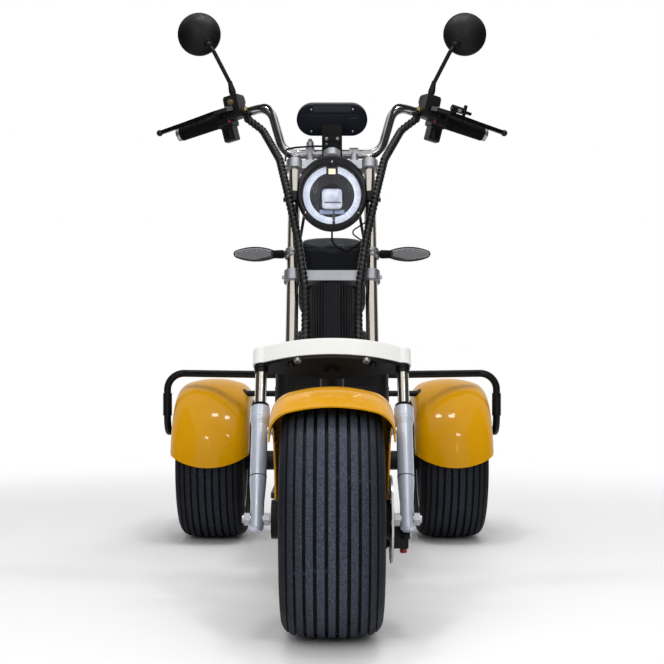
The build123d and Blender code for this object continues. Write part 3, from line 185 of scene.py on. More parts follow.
def sweep(path, radius, sides=10, shape=None):
    """A round bar along a run; shape(distance, angle) may change its radius."""
    points, faces = [], []
    way = (path[1] - path[0]).normalized()
    first, second = basis(way)
    run = 0.0
    for index, centre in enumerate(path):
        ahead = path[min(index + 1, len(path) - 1)]
        behind = path[max(index - 1, 0)]
        heading = (ahead - behind).normalized()
        turn = way.rotation_difference(heading)
        first, second, way = turn @ first, turn @ second, heading
        if index:
            run += (centre - path[index - 1]).length
        for step in range(sides):
            angle = math.tau * step / sides
            reach = shape(run, angle) if shape else radius
            points.append(centre + (first * math.cos(angle) + second * math.sin(angle)) * reach)
    for ring in range(len(path) - 1):
        for step in range(sides):
            after = (step + 1) % sides
            low, high = ring * sides, (ring + 1) * sides
            faces.append((low + step, low + after, high + after, high + step))
    faces.append(tuple(reversed(range(sides))))
    faces.append(tuple(range((len(path) - 1) * sides, len(path) * sides)))
    return points, faces


def slab(centre, size, bevel, turn=None):
    """A box with rounded edges; size and bevel in millimetres, turn a 3x3 rotation."""
    shape = bmesh.new()
    bmesh.ops.create_cube(shape, size=1.0)
    bmesh.ops.scale(shape, vec=Vector(size) * MM, verts=shape.verts)
    bmesh.ops.bevel(
        shape, geom=list(shape.edges), offset=bevel * MM, segments=2, profile=0.6, affect="EDGES"
    )
    turn = turn or Matrix.Identity(3)
    shape.verts.index_update()
    points = [centre + turn @ vert.co for vert in shape.verts]
    faces = [tuple(vert.index for vert in face.verts) for face in shape.faces]
    shape.free()
    return points, faces


def hex_head(origin, axis, flats, height):
    """A hexagon head with a washer under it."""
    axis = axis.normalized()
    corner = flats / 2 / math.cos(math.pi / 6)
    washer = lathe([(0, 0), (corner * 1.25, 0), (corner * 1.25, 1.2), (0, 1.2)], origin, axis, 18)
    head = lathe(
        [(corner, 1.2), (corner, height - 0.8), (corner * 0.86, height), (0, height)], origin, axis, 6
    )
    return washer, head


def socket_head(origin, axis, radius, height):
    """A round head with a hexagon recess."""
    outside = [(radius, 0), (radius, height * 0.8), (radius * 0.88, height), (radius * 0.52, height)]
    recess = [(radius * 0.52, height * 0.45), (0, height * 0.4)]
    return (lathe(outside + recess, origin, axis, 18),)


def dome_head(origin, axis, radius, height):
    """A low rounded head with a small dimple."""
    outside = [(radius, 0), (radius * 0.97, height * 0.3), (radius * 0.8, height * 0.72), (radius * 0.5, height)]
    dimple = [(radius * 0.3, height), (radius * 0.22, height * 0.6), (0, height * 0.6)]
    return (lathe(outside + dimple, origin, axis, 16),)


class Heap:
    """Collects points and faces that become one piece."""

    def __init__(self):
        self.points, self.faces = [], []

    def add(self, *shapes):
        for points, faces in shapes:
            base = len(self.points)
            self.points.extend(points)
            self.faces.extend(tuple(index + base for index in face) for face in faces)
        return self

    def both(self, *shapes):
        """Adds shapes and their mirror images on the other side."""
        for points, faces in shapes:
            self.add((points, faces))
            self.add(([twin(point) for point in points], [tuple(reversed(face)) for face in faces]))
        return self

    def piece(self, name, material, body, slot=None, sharp=32.0, stands_for=()):
        """Makes the piece; stands_for names the CAD nodes that it replaces."""
        mesh = bpy.data.meshes.new(name)
        mesh.from_pydata([tuple(point) for point in self.points], [], self.faces)
        mesh.validate()
        mesh.shade_smooth()
        mesh.set_sharp_from_angle(angle=math.radians(sharp))
        mesh.materials.append(material)
        thing = bpy.data.objects.new(name, mesh)
        bpy.context.scene.collection.objects.link(thing)
        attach(thing, body)
        if stands_for:
            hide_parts(*stands_for)
        return thing


# Shader effects that several finishes share
def effect(name, inputs, outputs):
    """A node group with named sockets, with its input and output nodes."""
    tree = bpy.data.node_groups.new(name, "ShaderNodeTree")
    for label, kind, value in inputs:
        socket = tree.interface.new_socket(label, in_out="INPUT", socket_type=kind)
        socket.default_value = value
    for label, kind in outputs:
        tree.interface.new_socket(label, in_out="OUTPUT", socket_type=kind)
    return tree, tree.nodes.new("NodeGroupInput"), tree.nodes.new("NodeGroupOutput")


def node(tree, kind, **values):
    """A node whose settings and input values are given by name; spaces in socket names become _."""
    made = tree.nodes.new(kind)
    for key, value in values.items():
        if hasattr(made, key) and key not in made.inputs:
            setattr(made, key, value)
        else:
            made.inputs[key.replace("_", " ")].default_value = value
    return made


def mixer(tree, factor, low, high):
    """A colour mix between two linked sockets or fixed colours."""
    mix = tree.nodes.new("ShaderNodeMix")
    mix.data_type = "RGBA"
    for index, value in ((0, factor), (6, low), (7, high)):
        if isinstance(value, bpy.types.NodeSocket):
            tree.links.new(value, mix.inputs[index])
        else:
            mix.inputs[index].default_value = value
    return mix.outputs[2]


def sums(tree, operation, first, second):
    """A sum of two linked sockets or fixed numbers."""
    made = tree.nodes.new("ShaderNodeMath")
    made.operation = operation
    for index, value in ((0, first), (1, second)):
        if isinstance(value, bpy.types.NodeSocket):
            tree.links.new(value, made.inputs[index])
        else:
            made.inputs[index].default_value = value
    return made.outputs[0]


def span(tree, value, low, high):
    """A soft step of a value between two levels."""
    made = tree.nodes.new("ShaderNodeMapRange")
    made.interpolation_type = "SMOOTHSTEP"
    tree.links.new(value, made.inputs[0])
    made.inputs[1].default_value = low
    made.inputs[2].default_value = high
    return made.outputs[0]


def cloud(tree, scale, detail=3.0, rough=0.55):
    """Noise over the object's own coordinates; scale may be a socket or a number."""
    place = tree.nodes.new("ShaderNodeTexCoord")
    made = tree.nodes.new("ShaderNodeTexNoise")
    tree.links.new(place.outputs["Object"], made.inputs["Vector"])
    if isinstance(scale, bpy.types.NodeSocket):
        tree.links.new(scale, made.inputs["Scale"])
    else:
        made.inputs["Scale"].default_value = scale
    made.inputs["Detail"].default_value = detail
    made.inputs["Roughness"].default_value = rough
    return made.outputs[0]


COLOUR, NUMBER = "NodeSocketColor", "NodeSocketFloat"

MOTTLE, enter, leave = effect(
    "Mottle",
    [("Base", COLOUR, (1, 1, 1, 1)), ("Tint", COLOUR, (0, 0, 0, 1)), ("Scale", NUMBER, 8.0), ("Amount", NUMBER, 0.3)],
    [("Colour", COLOUR)],
)
patch = span(MOTTLE, cloud(MOTTLE, enter.outputs["Scale"], 4.0, 0.6), 0.38, 0.68)
share = sums(MOTTLE, "MULTIPLY", patch, enter.outputs["Amount"])
MOTTLE.links.new(mixer(MOTTLE, share, enter.outputs["Base"], enter.outputs["Tint"]), leave.inputs[0])

DUST, enter, leave = effect(
    "Settled Dust",
    [("Base", COLOUR, (1, 1, 1, 1)), ("Dust", COLOUR, (0.4, 0.37, 0.33, 1)), ("Amount", NUMBER, 0.2)],
    [("Colour", COLOUR)],
)
facing = DUST.nodes.new("ShaderNodeNewGeometry")
parts = DUST.nodes.new("ShaderNodeSeparateXYZ")
DUST.links.new(facing.outputs["Normal"], parts.inputs[0])
upward = span(DUST, parts.outputs[2], 0.2, 1.0)
grains = span(DUST, cloud(DUST, 60.0, 6.0, 0.7), 0.42, 0.7)
amount = sums(DUST, "MULTIPLY", sums(DUST, "MULTIPLY", upward, grains), enter.outputs["Amount"])
DUST.links.new(mixer(DUST, amount, enter.outputs["Base"], enter.outputs["Dust"]), leave.inputs[0])

DRIFT, enter, leave = effect(
    "Roughness Drift",
    [("Low", NUMBER, 0.2), ("High", NUMBER, 0.4), ("Scale", NUMBER, 12.0)],
    [("Roughness", NUMBER)],
)
smear = span(DRIFT, cloud(DRIFT, enter.outputs["Scale"], 5.0, 0.65), 0.3, 0.72)
gap = sums(DRIFT, "SUBTRACT", enter.outputs["High"], enter.outputs["Low"])
DRIFT.links.new(sums(DRIFT, "ADD", sums(DRIFT, "MULTIPLY", smear, gap), enter.outputs["Low"]), leave.inputs[0])

GRAIN, enter, leave = effect("Grain Height", [("Scale", NUMBER, 400.0)], [("Height", NUMBER)])
GRAIN.links.new(cloud(GRAIN, enter.outputs["Scale"], 3.0, 0.5), leave.inputs[0])

PEBBLE, enter, leave = effect("Pebble Height", [("Scale", NUMBER, 500.0)], [("Height", NUMBER)])
place = PEBBLE.nodes.new("ShaderNodeTexCoord")
cells = node(PEBBLE, "ShaderNodeTexVoronoi", feature="SMOOTH_F1")
PEBBLE.links.new(place.outputs["Object"], cells.inputs["Vector"])
PEBBLE.links.new(enter.outputs["Scale"], cells.inputs["Scale"])
PEBBLE.links.new(sums(PEBBLE, "SUBTRACT", 1.0, cells.outputs["Distance"]), leave.inputs[0])

BRUSH, enter, leave = effect("Drawn Lines", [("Scale", NUMBER, 300.0)], [("Height", NUMBER)])
place = BRUSH.nodes.new("ShaderNodeTexCoord")
stretch = node(BRUSH, "ShaderNodeMapping")
stretch.inputs["Scale"].default_value = (1.0, 1.0, 0.04)
lines = BRUSH.nodes.new("ShaderNodeTexNoise")
BRUSH.links.new(place.outputs["Object"], stretch.inputs["Vector"])
BRUSH.links.new(stretch.outputs[0], lines.inputs["Vector"])
BRUSH.links.new(enter.outputs["Scale"], lines.inputs["Scale"])
BRUSH.links.new(lines.outputs[0], leave.inputs[0])


def use(tree, group, **values):
    """Places a shared effect in a tree and gives its first output."""
    made = tree.nodes.new("ShaderNodeGroup")
    made.node_tree = group
    for key, value in values.items():
        if isinstance(value, bpy.types.NodeSocket):
            tree.links.new(value, made.inputs[key])
        else:
            made.inputs[key].default_value = value
    return made.outputs[0]


def rgb(red, green, blue):
    """A linear colour from the 0 to 255 numbers of a screen colour."""
    values = [channel / 255 for channel in (red, green, blue)]
    return tuple(v / 12.92 if v <= 0.04045 else ((v + 0.055) / 1.055) ** 2.4 for v in values) + (1.0,)


SMEAR_SCALE, COAT_ROUGHNESS = 14.0, 0.06


def finish(
    name, base, rough, tint=None, tint_scale=7.0, tint_amount=0.35, metal=0.0, coat=0.0,
    dust=0.0, grain=GRAIN, grain_scale=600.0, grain_strength=0.08, grain_depth=0.0004, specular=0.5,
):
    """A material with mottled colour, settled dust, drifting roughness and a fine surface grain."""
    material = bpy.data.materials.new(name)
    material.use_nodes = True
    tree = material.node_tree
    shader = tree.nodes["Principled BSDF"]
    shader.inputs["Metallic"].default_value = metal
    shader.inputs["Coat Weight"].default_value = coat
    shader.inputs["Coat Roughness"].default_value = COAT_ROUGHNESS
    shader.inputs["Specular IOR Level"].default_value = specular
    tint = tint or tuple(channel * 0.6 for channel in base[:3]) + (1.0,)
    colour = use(tree, MOTTLE, Base=base, Tint=tint, Scale=tint_scale, Amount=tint_amount)
    if dust:
        colour = use(tree, DUST, Base=colour, Amount=dust)
    tree.links.new(colour, shader.inputs["Base Color"])
    tree.links.new(use(tree, DRIFT, Low=rough[0], High=rough[1], Scale=SMEAR_SCALE), shader.inputs["Roughness"])
    bump = node(tree, "ShaderNodeBump", Strength=grain_strength, Distance=grain_depth)
    tree.links.new(use(tree, grain, Scale=grain_scale), bump.inputs["Height"])
    tree.links.new(bump.outputs[0], shader.inputs["Normal"])
    return material


def shader_of(material):
    """The main shader of a material."""
    return material.node_tree.nodes["Principled BSDF"]


YELLOW = finish(
    "Amber Paint", rgb(208, 149, 0), (0.3, 0.42), tint=rgb(197, 136, 0), tint_scale=3.0, tint_amount=0.4,
    coat=0.3, dust=0.01, grain_scale=260.0, grain_strength=0.03, specular=0.06,
)
RUBBER = finish(
    "Tyre Rubber", rgb(8, 8, 10), (0.6, 0.8), tint=rgb(16, 17, 20), tint_scale=420.0, tint_amount=0.5,
    grain_scale=900.0, grain_strength=0.25, specular=0.14,
)
tree = RUBBER.node_tree
# Tread tops mix towards a lighter bluish grey: rubbed rubber and painted highlight together
worn_and_lit = tree.nodes.new("ShaderNodeAttribute")
worn_and_lit.attribute_name = "tread_wear_and_light"
worn_and_lit_colour = use(tree, MOTTLE, Base=rgb(48, 54, 67), Tint=rgb(98, 104, 116), Scale=300.0, Amount=0.5)
old = shader_of(RUBBER).inputs["Base Color"].links[0].from_socket
tree.links.new(mixer(tree, worn_and_lit.outputs["Fac"], old, worn_and_lit_colour), shader_of(RUBBER).inputs["Base Color"])

GRIP = finish(
    "Grip Rubber", rgb(8, 8, 10), (0.55, 0.75), tint=rgb(14, 14, 17), tint_scale=60.0,
    grain=PEBBLE, grain_scale=900.0, grain_strength=0.3, dust=0.02, specular=0.08,
)
SILVER = finish(
    "Silver Paint", rgb(188, 195, 208), (0.3, 0.42), tint=rgb(166, 173, 187), tint_scale=5.0,
    metal=0.3, coat=0.25, grain_scale=1400.0, grain_strength=0.06,
)
CHROME = finish(
    "Chrome", rgb(172, 173, 176), (0.18, 0.28), tint=rgb(146, 145, 144), tint_scale=4.0, metal=1.0,
    grain_scale=120.0, grain_strength=0.004,
)
TUBES = finish(
    "Warm Chrome", rgb(212, 207, 199), (0.1, 0.18), tint=rgb(184, 177, 167), tint_scale=5.0, metal=1.0,
    grain=BRUSH, grain_scale=240.0, grain_strength=0.012,
)
ALLOY = finish(
    "Cast Alloy", rgb(158, 160, 166), (0.34, 0.5), tint=rgb(134, 134, 136), tint_scale=18.0, metal=0.85,
    grain_scale=1100.0, grain_strength=0.12, dust=0.08,
)
ZINC = finish(
    "Zinc Plate", rgb(166, 168, 171), (0.22, 0.38), tint=rgb(134, 133, 129), tint_scale=60.0, metal=0.95,
    grain_scale=900.0, grain_strength=0.06,
)
STEEL = finish(
    "Ground Steel", rgb(186, 187, 190), (0.2, 0.36), tint=rgb(150, 151, 155), tint_scale=26.0, metal=1.0,
    grain=BRUSH, grain_scale=700.0, grain_strength=0.1,
)
WHITE = finish(
    "White Paint", rgb(220, 221, 219), (0.2, 0.32), tint=rgb(211, 212, 210), tint_scale=3.0, coat=0.15, specular=0.2,
    grain_scale=300.0, grain_strength=0.04,
)
BLACK_METAL = finish(
    "Black Powder Coat", rgb(9, 10, 12), (0.34, 0.5), tint=rgb(17, 18, 21), tint_scale=9.0,
    grain=PEBBLE, grain_scale=1500.0, grain_strength=0.1, dust=0.03, specular=0.18,
)
PLASTIC = finish(
    "Moulded Plastic", rgb(9, 9, 11), (0.4, 0.56), tint=rgb(17, 17, 20), tint_scale=12.0,
    grain=PEBBLE, grain_scale=1800.0, grain_strength=0.16, dust=0.03, specular=0.18,
)
GLOSS = finish(
    "Gloss Black", rgb(7, 8, 12), (0.12, 0.24), tint=rgb(12, 14, 20), tint_scale=6.0, coat=0.1, specular=0.2,
    grain_scale=200.0, grain_strength=0.02, dust=0.03,
)
DISPLAY = finish(
    "Display Housing", rgb(9, 11, 19), (0.34, 0.46), tint=rgb(14, 17, 27), tint_scale=8.0,
    grain=PEBBLE, grain_scale=1600.0, grain_strength=0.1, specular=0.1,
)
WRAP = finish(
    "Spiral Wrap", rgb(8, 8, 10), (0.34, 0.48), tint=rgb(16, 16, 19), tint_scale=45.0,
    grain_scale=700.0, grain_strength=0.15, dust=0.03, specular=0.3,
)
COVER = finish(
    "Cushion Cover", rgb(8, 10, 13), (0.46, 0.62), tint=rgb(12, 14, 18), tint_scale=11.0,
    grain=PEBBLE, grain_scale=520.0, grain_strength=0.25, grain_depth=0.0006, dust=0.01, specular=0.1,
)
BAND = finish(
    "Cushion Band", rgb(19, 24, 30), (0.36, 0.5), tint=rgb(14, 18, 23), tint_scale=14.0,
    grain=PEBBLE, grain_scale=620.0, grain_strength=0.3, grain_depth=0.0006, specular=0.25,
)
RED = finish(
    "Red Plastic", rgb(138, 16, 22), (0.28, 0.42), tint=rgb(104, 9, 13), tint_scale=30.0,
    grain_scale=800.0, grain_strength=0.08,
)
BRASS = finish(
    "Yellow Zinc", rgb(134, 122, 88), (0.3, 0.45), tint=rgb(92, 82, 56), tint_scale=50.0, metal=0.9,
    grain_scale=900.0, grain_strength=0.08,
)
MIRROR = finish(
    "Mirror Glass", rgb(225, 229, 232), (0.015, 0.04), tint=rgb(215, 220, 226), tint_scale=2.0, metal=1.0,
    grain_scale=20.0, grain_strength=0.004,
)
LAMP = finish(
    "Lamp White", rgb(212, 219, 234), (0.25, 0.4), tint=rgb(182, 192, 212), tint_scale=70.0, tint_amount=0.6,
    grain=PEBBLE, grain_scale=420.0, grain_strength=0.35,
)
PROJECTOR = finish(
    "Projector Glass", rgb(196, 202, 216), (0.12, 0.3), tint=rgb(140, 150, 172), tint_scale=38.0, tint_amount=0.8,
    coat=0.6, grain=PEBBLE, grain_scale=240.0, grain_strength=0.3,
)
CREAM = finish(
    "Cream Lamp", rgb(242, 232, 204), (0.3, 0.45), tint=rgb(232, 214, 172), tint_scale=120.0,
    grain=PEBBLE, grain_scale=700.0, grain_strength=0.3,
)
GREY_LENS = finish(
    "Smoked Lens", rgb(84, 84, 88), (0.1, 0.22), tint=rgb(66, 66, 70), tint_scale=40.0, tint_amount=0.4,
    coat=0.7, grain=PEBBLE, grain_scale=360.0, grain_strength=0.4,
)
RED_LENS = finish(
    "Red Lens", rgb(150, 12, 14), (0.08, 0.18), tint=rgb(98, 6, 8), tint_scale=60.0, tint_amount=0.6,
    coat=0.8, grain=PEBBLE, grain_scale=300.0, grain_strength=0.4,
)
BOWL = finish(
    "Dark Reflector", rgb(30, 30, 35), (0.42, 0.56), tint=rgb(18, 18, 21), tint_scale=22.0, metal=0.4,
    grain_scale=500.0, grain_strength=0.04,
)
SHELF = finish(
    "Blue Reflector", rgb(122, 134, 160), (0.3, 0.42), tint=rgb(84, 93, 115), tint_scale=34.0, metal=0.5, coat=0.3,
    grain_scale=420.0, grain_strength=0.05,
)
HOOPS = finish(
    "Grey Reflector", rgb(86, 86, 94), (0.46, 0.6), tint=rgb(58, 58, 64), tint_scale=26.0, specular=0.2,
    grain_scale=420.0, grain_strength=0.05,
)
BEVEL = finish(
    "Display Bevel", rgb(28, 32, 42), (0.36, 0.5), tint=rgb(22, 26, 35), tint_scale=9.0, specular=0.2,
    grain=PEBBLE, grain_scale=1600.0, grain_strength=0.1,
)
MAT = finish(
    "Deck Mat", rgb(16, 16, 18), (0.6, 0.8), tint=rgb(30, 30, 32), tint_scale=40.0,
    grain=PEBBLE, grain_scale=800.0, grain_strength=0.3, dust=0.04, specular=0.2,
)
for lamp, strength in ((LAMP, 0.2), (PROJECTOR, 0.12), (CREAM, 0.25)):
    links = shader_of(lamp).inputs["Base Color"].links
    lamp.node_tree.links.new(links[0].from_socket, shader_of(lamp).inputs["Emission Color"])
    shader_of(lamp).inputs["Emission Strength"].default_value = strength

CLEAR = finish("Clear Cover", (1.0, 1.0, 1.0, 1.0), (0.01, 0.03), tint=(0.97, 0.98, 1.0, 1.0), grain_strength=0.003)
shader_of(CLEAR).inputs["Transmission Weight"].default_value = 1.0
shader_of(CLEAR).inputs["IOR"].default_value = 1.12

# Finish of each CAD node
NODE_FINISH = {
    RUBBER: ["front_tyre", "rear_tyre_left", "rear_tyre_right"],
    BLACK_METAL: [
        "front_rim", "rear_rim_left", "rear_rim_right", "fork_plate_base", "display_bracket", "brake_caliper",
        "frame_neck", "frame_rails", "subframe", "rear_axle", "guard_hoops", "rear_bumper", "backrest_posts",
        "headlight_straps",
    ],
    ZINC: ["front_axle", "signal_clamps"],
    SILVER: ["fork_legs"],
    CHROME: ["handlebar"],
    TUBES: ["fork_tubes"],
    WHITE: ["fork_plate"],
    ALLOY: ["lower_clamp", "upper_clamp", "steering_stem", "bar_risers", "key_switch", "drive_unit"],
    GRIP: ["grips"],
    GLOSS: ["headlight_bucket", "brake_levers", "neck_cover"],
    LAMP: ["headlight_ring"],
    PROJECTOR: ["headlight_projector"],
    CLEAR: ["headlight_lens"],
    PLASTIC: ["mirrors", "signal_bodies", "control_pods", "battery_box", "deck", "seat_box"],
    GREY_LENS: ["signal_lenses"],
    MIRROR: ["mirror_glasses"],
    DISPLAY: ["display"],
    WRAP: ["cable_looms", "control_lines"],
    YELLOW: ["front_fender", "rear_fender_left", "rear_fender_right"],
    COVER: ["seat", "backrest"],
    RED_LENS: ["tail_light"],
    STEEL: ["front_disc", "spring_struts"],
}
for material, names in NODE_FINISH.items():
    for name in names:
        nodes[name].data.materials.clear()
        nodes[name].data.materials.append(material)

# Tyres: ribbed tread with tie bars across the grooves, rings on the sidewall, vent hairs on the shoulder
GROOVES = [  # lateral place, width and depth in millimetres
    (10.4, 6.6, 5.5),
    (32.3, 6.6, 5.5),
    (52.8, 5.6, 5.0),
    (71.2, 4.2, 4.0),
    (86.4, 3.0, 2.6),
]
TIE_ANGLES = {1: 26.5, -1: -17.0}


def tyre_half():
    """Points of half a tyre's section from the crown outwards: (lateral, radius, groove index or None)."""
    tread, drop, half, wall = 73.0, 5.0, 102.5, 197.0
    slope = math.atan(2 * drop / tread)
    inward = Vector((-math.sin(slope), -math.cos(slope)))
    reach = Vector((half - tread, wall - (TYRE_RADIUS - drop)))
    bend = reach.length_squared / (2 * reach.dot(inward))
    centre = Vector((tread, TYRE_RADIUS - drop)) + inward * bend

    def surface(x):
        if x <= tread:
            return TYRE_RADIUS - drop * (x / tread) ** 2
        return centre.y + math.sqrt(max(bend**2 - (x - centre.x) ** 2, 0.0))

    rows = [(0.0, surface(0.0), None)]
    for index, (middle, width, depth) in enumerate(GROOVES):
        low, high = middle - width / 2, middle + width / 2
        previous = rows[-1][0]
        rows.append(((previous + low) / 2, surface((previous + low) / 2), None))
        rows.append((low - 0.5, surface(low - 0.5), None))
        rows.append((low + 0.5, surface(low + 0.5) - depth, index))
        rows.append((high - 0.5, surface(high - 0.5) - depth, index))
        rows.append((high + 0.5, surface(high + 0.5), None))
    for x in (92.0, 96.0, 99.0, 101.2):
        rows.append((x, surface(x), None))
    side = [(102.4, 199.0), (102.3, 195.0), (100.6, 191.5), (101.2, 190.0), (100.4, 188.5), (97.6, 184.0)]
    side += [(96.0, 182.4), (92.0, 177.0), (92.6, 175.6), (91.4, 174.4), (86.0, 169.0), (81.0, 165.4), (80.6, 160.0)]
    rows += [(x, radius, None) for x, radius in side]
    return rows


def make_tyre(name, centre, body, stands_for, turned, wear_and_light):
    """A tyre round its hub, turned by degrees. Its tread tops are rubbed grey and also carry a painted highlight,
    brightest at the middle of the crown and fading to the shoulders, scaled by its last argument.
    """
    half = tyre_half()
    section = [(-x, radius, index, -1) for x, radius, index in reversed(half[1:])]
    section += [(x, radius, index, 1) for x, radius, index in half]
    steps = 240
    points, faces, tops = [], [], []
    for step in range(steps):
        degrees = 360.0 * step / steps
        angle = math.radians(degrees + turned)
        way = Vector((0.0, -math.cos(angle), math.sin(angle)))
        for x, radius, index, hand in section:
            depth = 0.0
            if index is not None:
                off = (degrees - TIE_ANGLES[hand] + 45.0) % 90.0 - 45.0
                closed = index < 4 and abs(off + (index - 1) * 0.7) < 0.8
                depth = GROOVES[index][2] * (0.85 if closed else 0.0)
            points.append(centre + SIDE * x * MM + way * (radius + depth) * MM)
            on_top = index is None and radius > 205.0
            # Tread tops: partly rubbed, partly painted highlight, brightest at the crown's middle; grooves and hairs
            # get a little of the grey
            tops.append(wear_and_light * (0.95 - 0.85 * (x / 96.0) ** 2) if on_top else (0.3 * wear_and_light if depth else 0.0))
    wide = len(section)
    for step in range(steps):
        low, high = step * wide, ((step + 1) % steps) * wide
        for column in range(wide - 1):
            faces.append((low + column, high + column, high + column + 1, low + column + 1))
        faces.append((low + wide - 1, high + wide - 1, high, low))
    heap = Heap().add((points, faces))
    for hair in range(64):
        angle = math.tau * (hair + dice.random() * 0.6) / 64
        hand = 1 if hair % 2 else -1
        x, radius = (96.0, 213.0) if hair % 4 < 2 else (100.6, 204.0)
        way = Vector((0.0, -math.cos(angle), math.sin(angle)))
        root = centre + SIDE * hand * x * MM + way * radius * MM
        lean = (SIDE * hand * (0.9 if x < 99 else 1.4) + way * (1.2 if x < 99 else 0.5)).normalized()
        length = 2.0 + 1.2 * dice.random()
        if x > 99:
            length = 1.6
        heap.add(lathe([(0.55, -0.6), (0.4, length * 0.6), (0, length)], root, lean, 5))
    tops += [0.2] * (len(heap.points) - len(tops))
    tyre = heap.piece(name, RUBBER, body, "tyre", sharp=40.0, stands_for=[stands_for])
    layer = tyre.data.attributes.new("tread_wear_and_light", "FLOAT", "POINT")
    layer.data.foreach_set("value", tops)
    return tyre


FRONT_HUB = spot(0, 0, TYRE_RADIUS)
REAR_LEFT = spot(HALF_TRACK, WHEELBASE, TYRE_RADIUS)
REAR_RIGHT = spot(-HALF_TRACK, WHEELBASE, TYRE_RADIUS)
# The rear tyres get less of the grey tops than the front one: painted shade, for the rear tyres standing in shade
# behind the body
make_tyre("front_tread", FRONT_HUB, "front_wheel", "front_tyre", 0.0, 1.0)
make_tyre("rear_left_tread", REAR_LEFT, "rear_wheel_left", "rear_tyre_left", 31.0, 0.45)
make_tyre("rear_right_tread", REAR_RIGHT, "rear_wheel_right", "rear_tyre_right", 12.0, 0.45)

# Rims: bright edge on each flange, a valve, and hub bolts at the rear
rim_edge = [(163.2, 82.0), (163.6, 86.0), (162.8, 88.3), (156.0, 88.3), (152.6, 87.6), (153.0, 86.0)]
valve_shape = [(0, 0), (4, 0), (4, 8), (3, 12), (3, 26), (3.8, 27), (3.8, 36), (2, 38), (0, 38)]
for label, centre, body in (
    ("front", FRONT_HUB, "front_wheel"),
    ("rear_left", REAR_LEFT, "rear_wheel_left"),
    ("rear_right", REAR_RIGHT, "rear_wheel_right"),
):
    edge, bolts = Heap(), Heap()
    for hand in (-1, 1):
        edge.add(lathe(rim_edge, centre, SIDE * hand, 96))
    edge.piece(label + "_rim_edge", STEEL, body, "rim")
    if label != "front":
        for hand, count in itertools.product((-1, 1), range(5)):
            angle = math.tau * (count + 0.5) / 5
            around = Vector((0, math.cos(angle), math.sin(angle))) * 0.030
            bolts.add(*hex_head(centre + around + SIDE * hand * 0.070, SIDE * hand, 8, 5))
        bolts.piece(label + "_hub_bolts", ZINC, body, "steel")
    stem = Vector((0, math.sin(0.4), math.cos(0.4)))
    valve = Heap().add(lathe(valve_shape, centre + SIDE * 0.045 + stem * 0.146, -stem + SIDE * 0.5, 12))
    valve.piece(label + "_valve", GRIP, body, "rubber")

disc_bolts = Heap()
for count in range(5):
    angle = math.tau * count / 5
    around = Vector((0, math.cos(angle), math.sin(angle))) * 0.034
    disc_bolts.add(*dome_head(FRONT_HUB + around + SIDE * 0.123, SIDE, 5, 3.2))
disc_bolts.piece("disc_bolts", ZINC, "front_wheel", "steel")

# Grips: ringed rubber sleeves with a flange against the switch housing
profile = [(15.6, -0.2), (16.8, 0.6), (17.0, 3.0)]
for ring in range(14):
    place = 8.0 + ring * 6.6
    profile += [(17.0, place), (16.0, place + 0.7), (16.0, place + 2.4), (17.0, place + 3.1)]
profile += [(17.0, 101.0), (16.6, 107.0), (11.2, 107.8)]
sleeves = Heap().both(lathe(profile, BAR_TIP, -BAR_WAY, 28))
sleeves.piece("grip_sleeves", GRIP, "steering", "rubber", stands_for=["grips"])
bar_cap = [(15.4, 0.4), (15.7, 2.0), (15.7, 7.2), (14.4, 9.0), (9, 9.0), (8, 8.2), (0, 8.2)]
caps = Heap().both(lathe(bar_cap, BAR_TIP, BAR_WAY, 28))
caps.piece("bar_end_caps", ZINC, "steering", "aluminium")

# Wrapped cable bundles
loom = [
    bar_point(GRIP_LENGTH + 74.2, -14, -14),
    BAR_HIGH + Vector((0.016, -0.008, -0.062)),
    fork(122, 66, 857.7),
    fork(103, 76, 765.7),
    fork(77, 70, 639.7),
    fork(60, 60, 520),
    fork(58, 36, 450),
    fork(58, 36, 390),
]
run = resample(rounded(loom, 0.040, 8), 0.0016)


def wrap(distance, angle):
    """Radius of the spiral wrap along a bundle, in metres."""
    phase = (distance / 0.0115 + angle / math.tau) % 1.0
    return 0.0074 + 0.0025 * math.sin(math.pi * phase) ** 0.7


bundles = Heap().both(sweep(run, 0.0095, 14, wrap))
bundles.piece("bundle_wraps", WRAP, "steering", "rubber", sharp=50.0, stands_for=["cable_looms"])

# Brake hose ends and the ferrules beside them
fittings, ferrules = Heap(), Heap()
hose_end = bar_point(GRIP_LENGTH + 74.6, -22, 4)
barb = [(4.4, -0.4), (5.2, 0.2), (5.2, 5), (4.2, 5.6), (4.2, 12), (3.7, 13), (3.6, 13)]
fittings.both(lathe(barb, hose_end, -BAR_WAY, 12))
fittings.both(lathe([(6, -4), (6.4, -3.4), (6.4, 3.4), (6, 4), (0, 4)], hose_end - BAR_WAY * 0.006, BAR_UP, 14))
loom_end = bar_point(GRIP_LENGTH + 74.2, -14, -14)
ferrules.both(lathe([(10.2, 0), (10.8, 0.6), (10.8, 9), (10.2, 10)], loom_end, -BAR_WAY, 18))
fittings.piece("hose_fittings", BRASS, "steering", "steel")
ferrules.piece("bundle_ferrules", GRIP, "steering", "rubber")

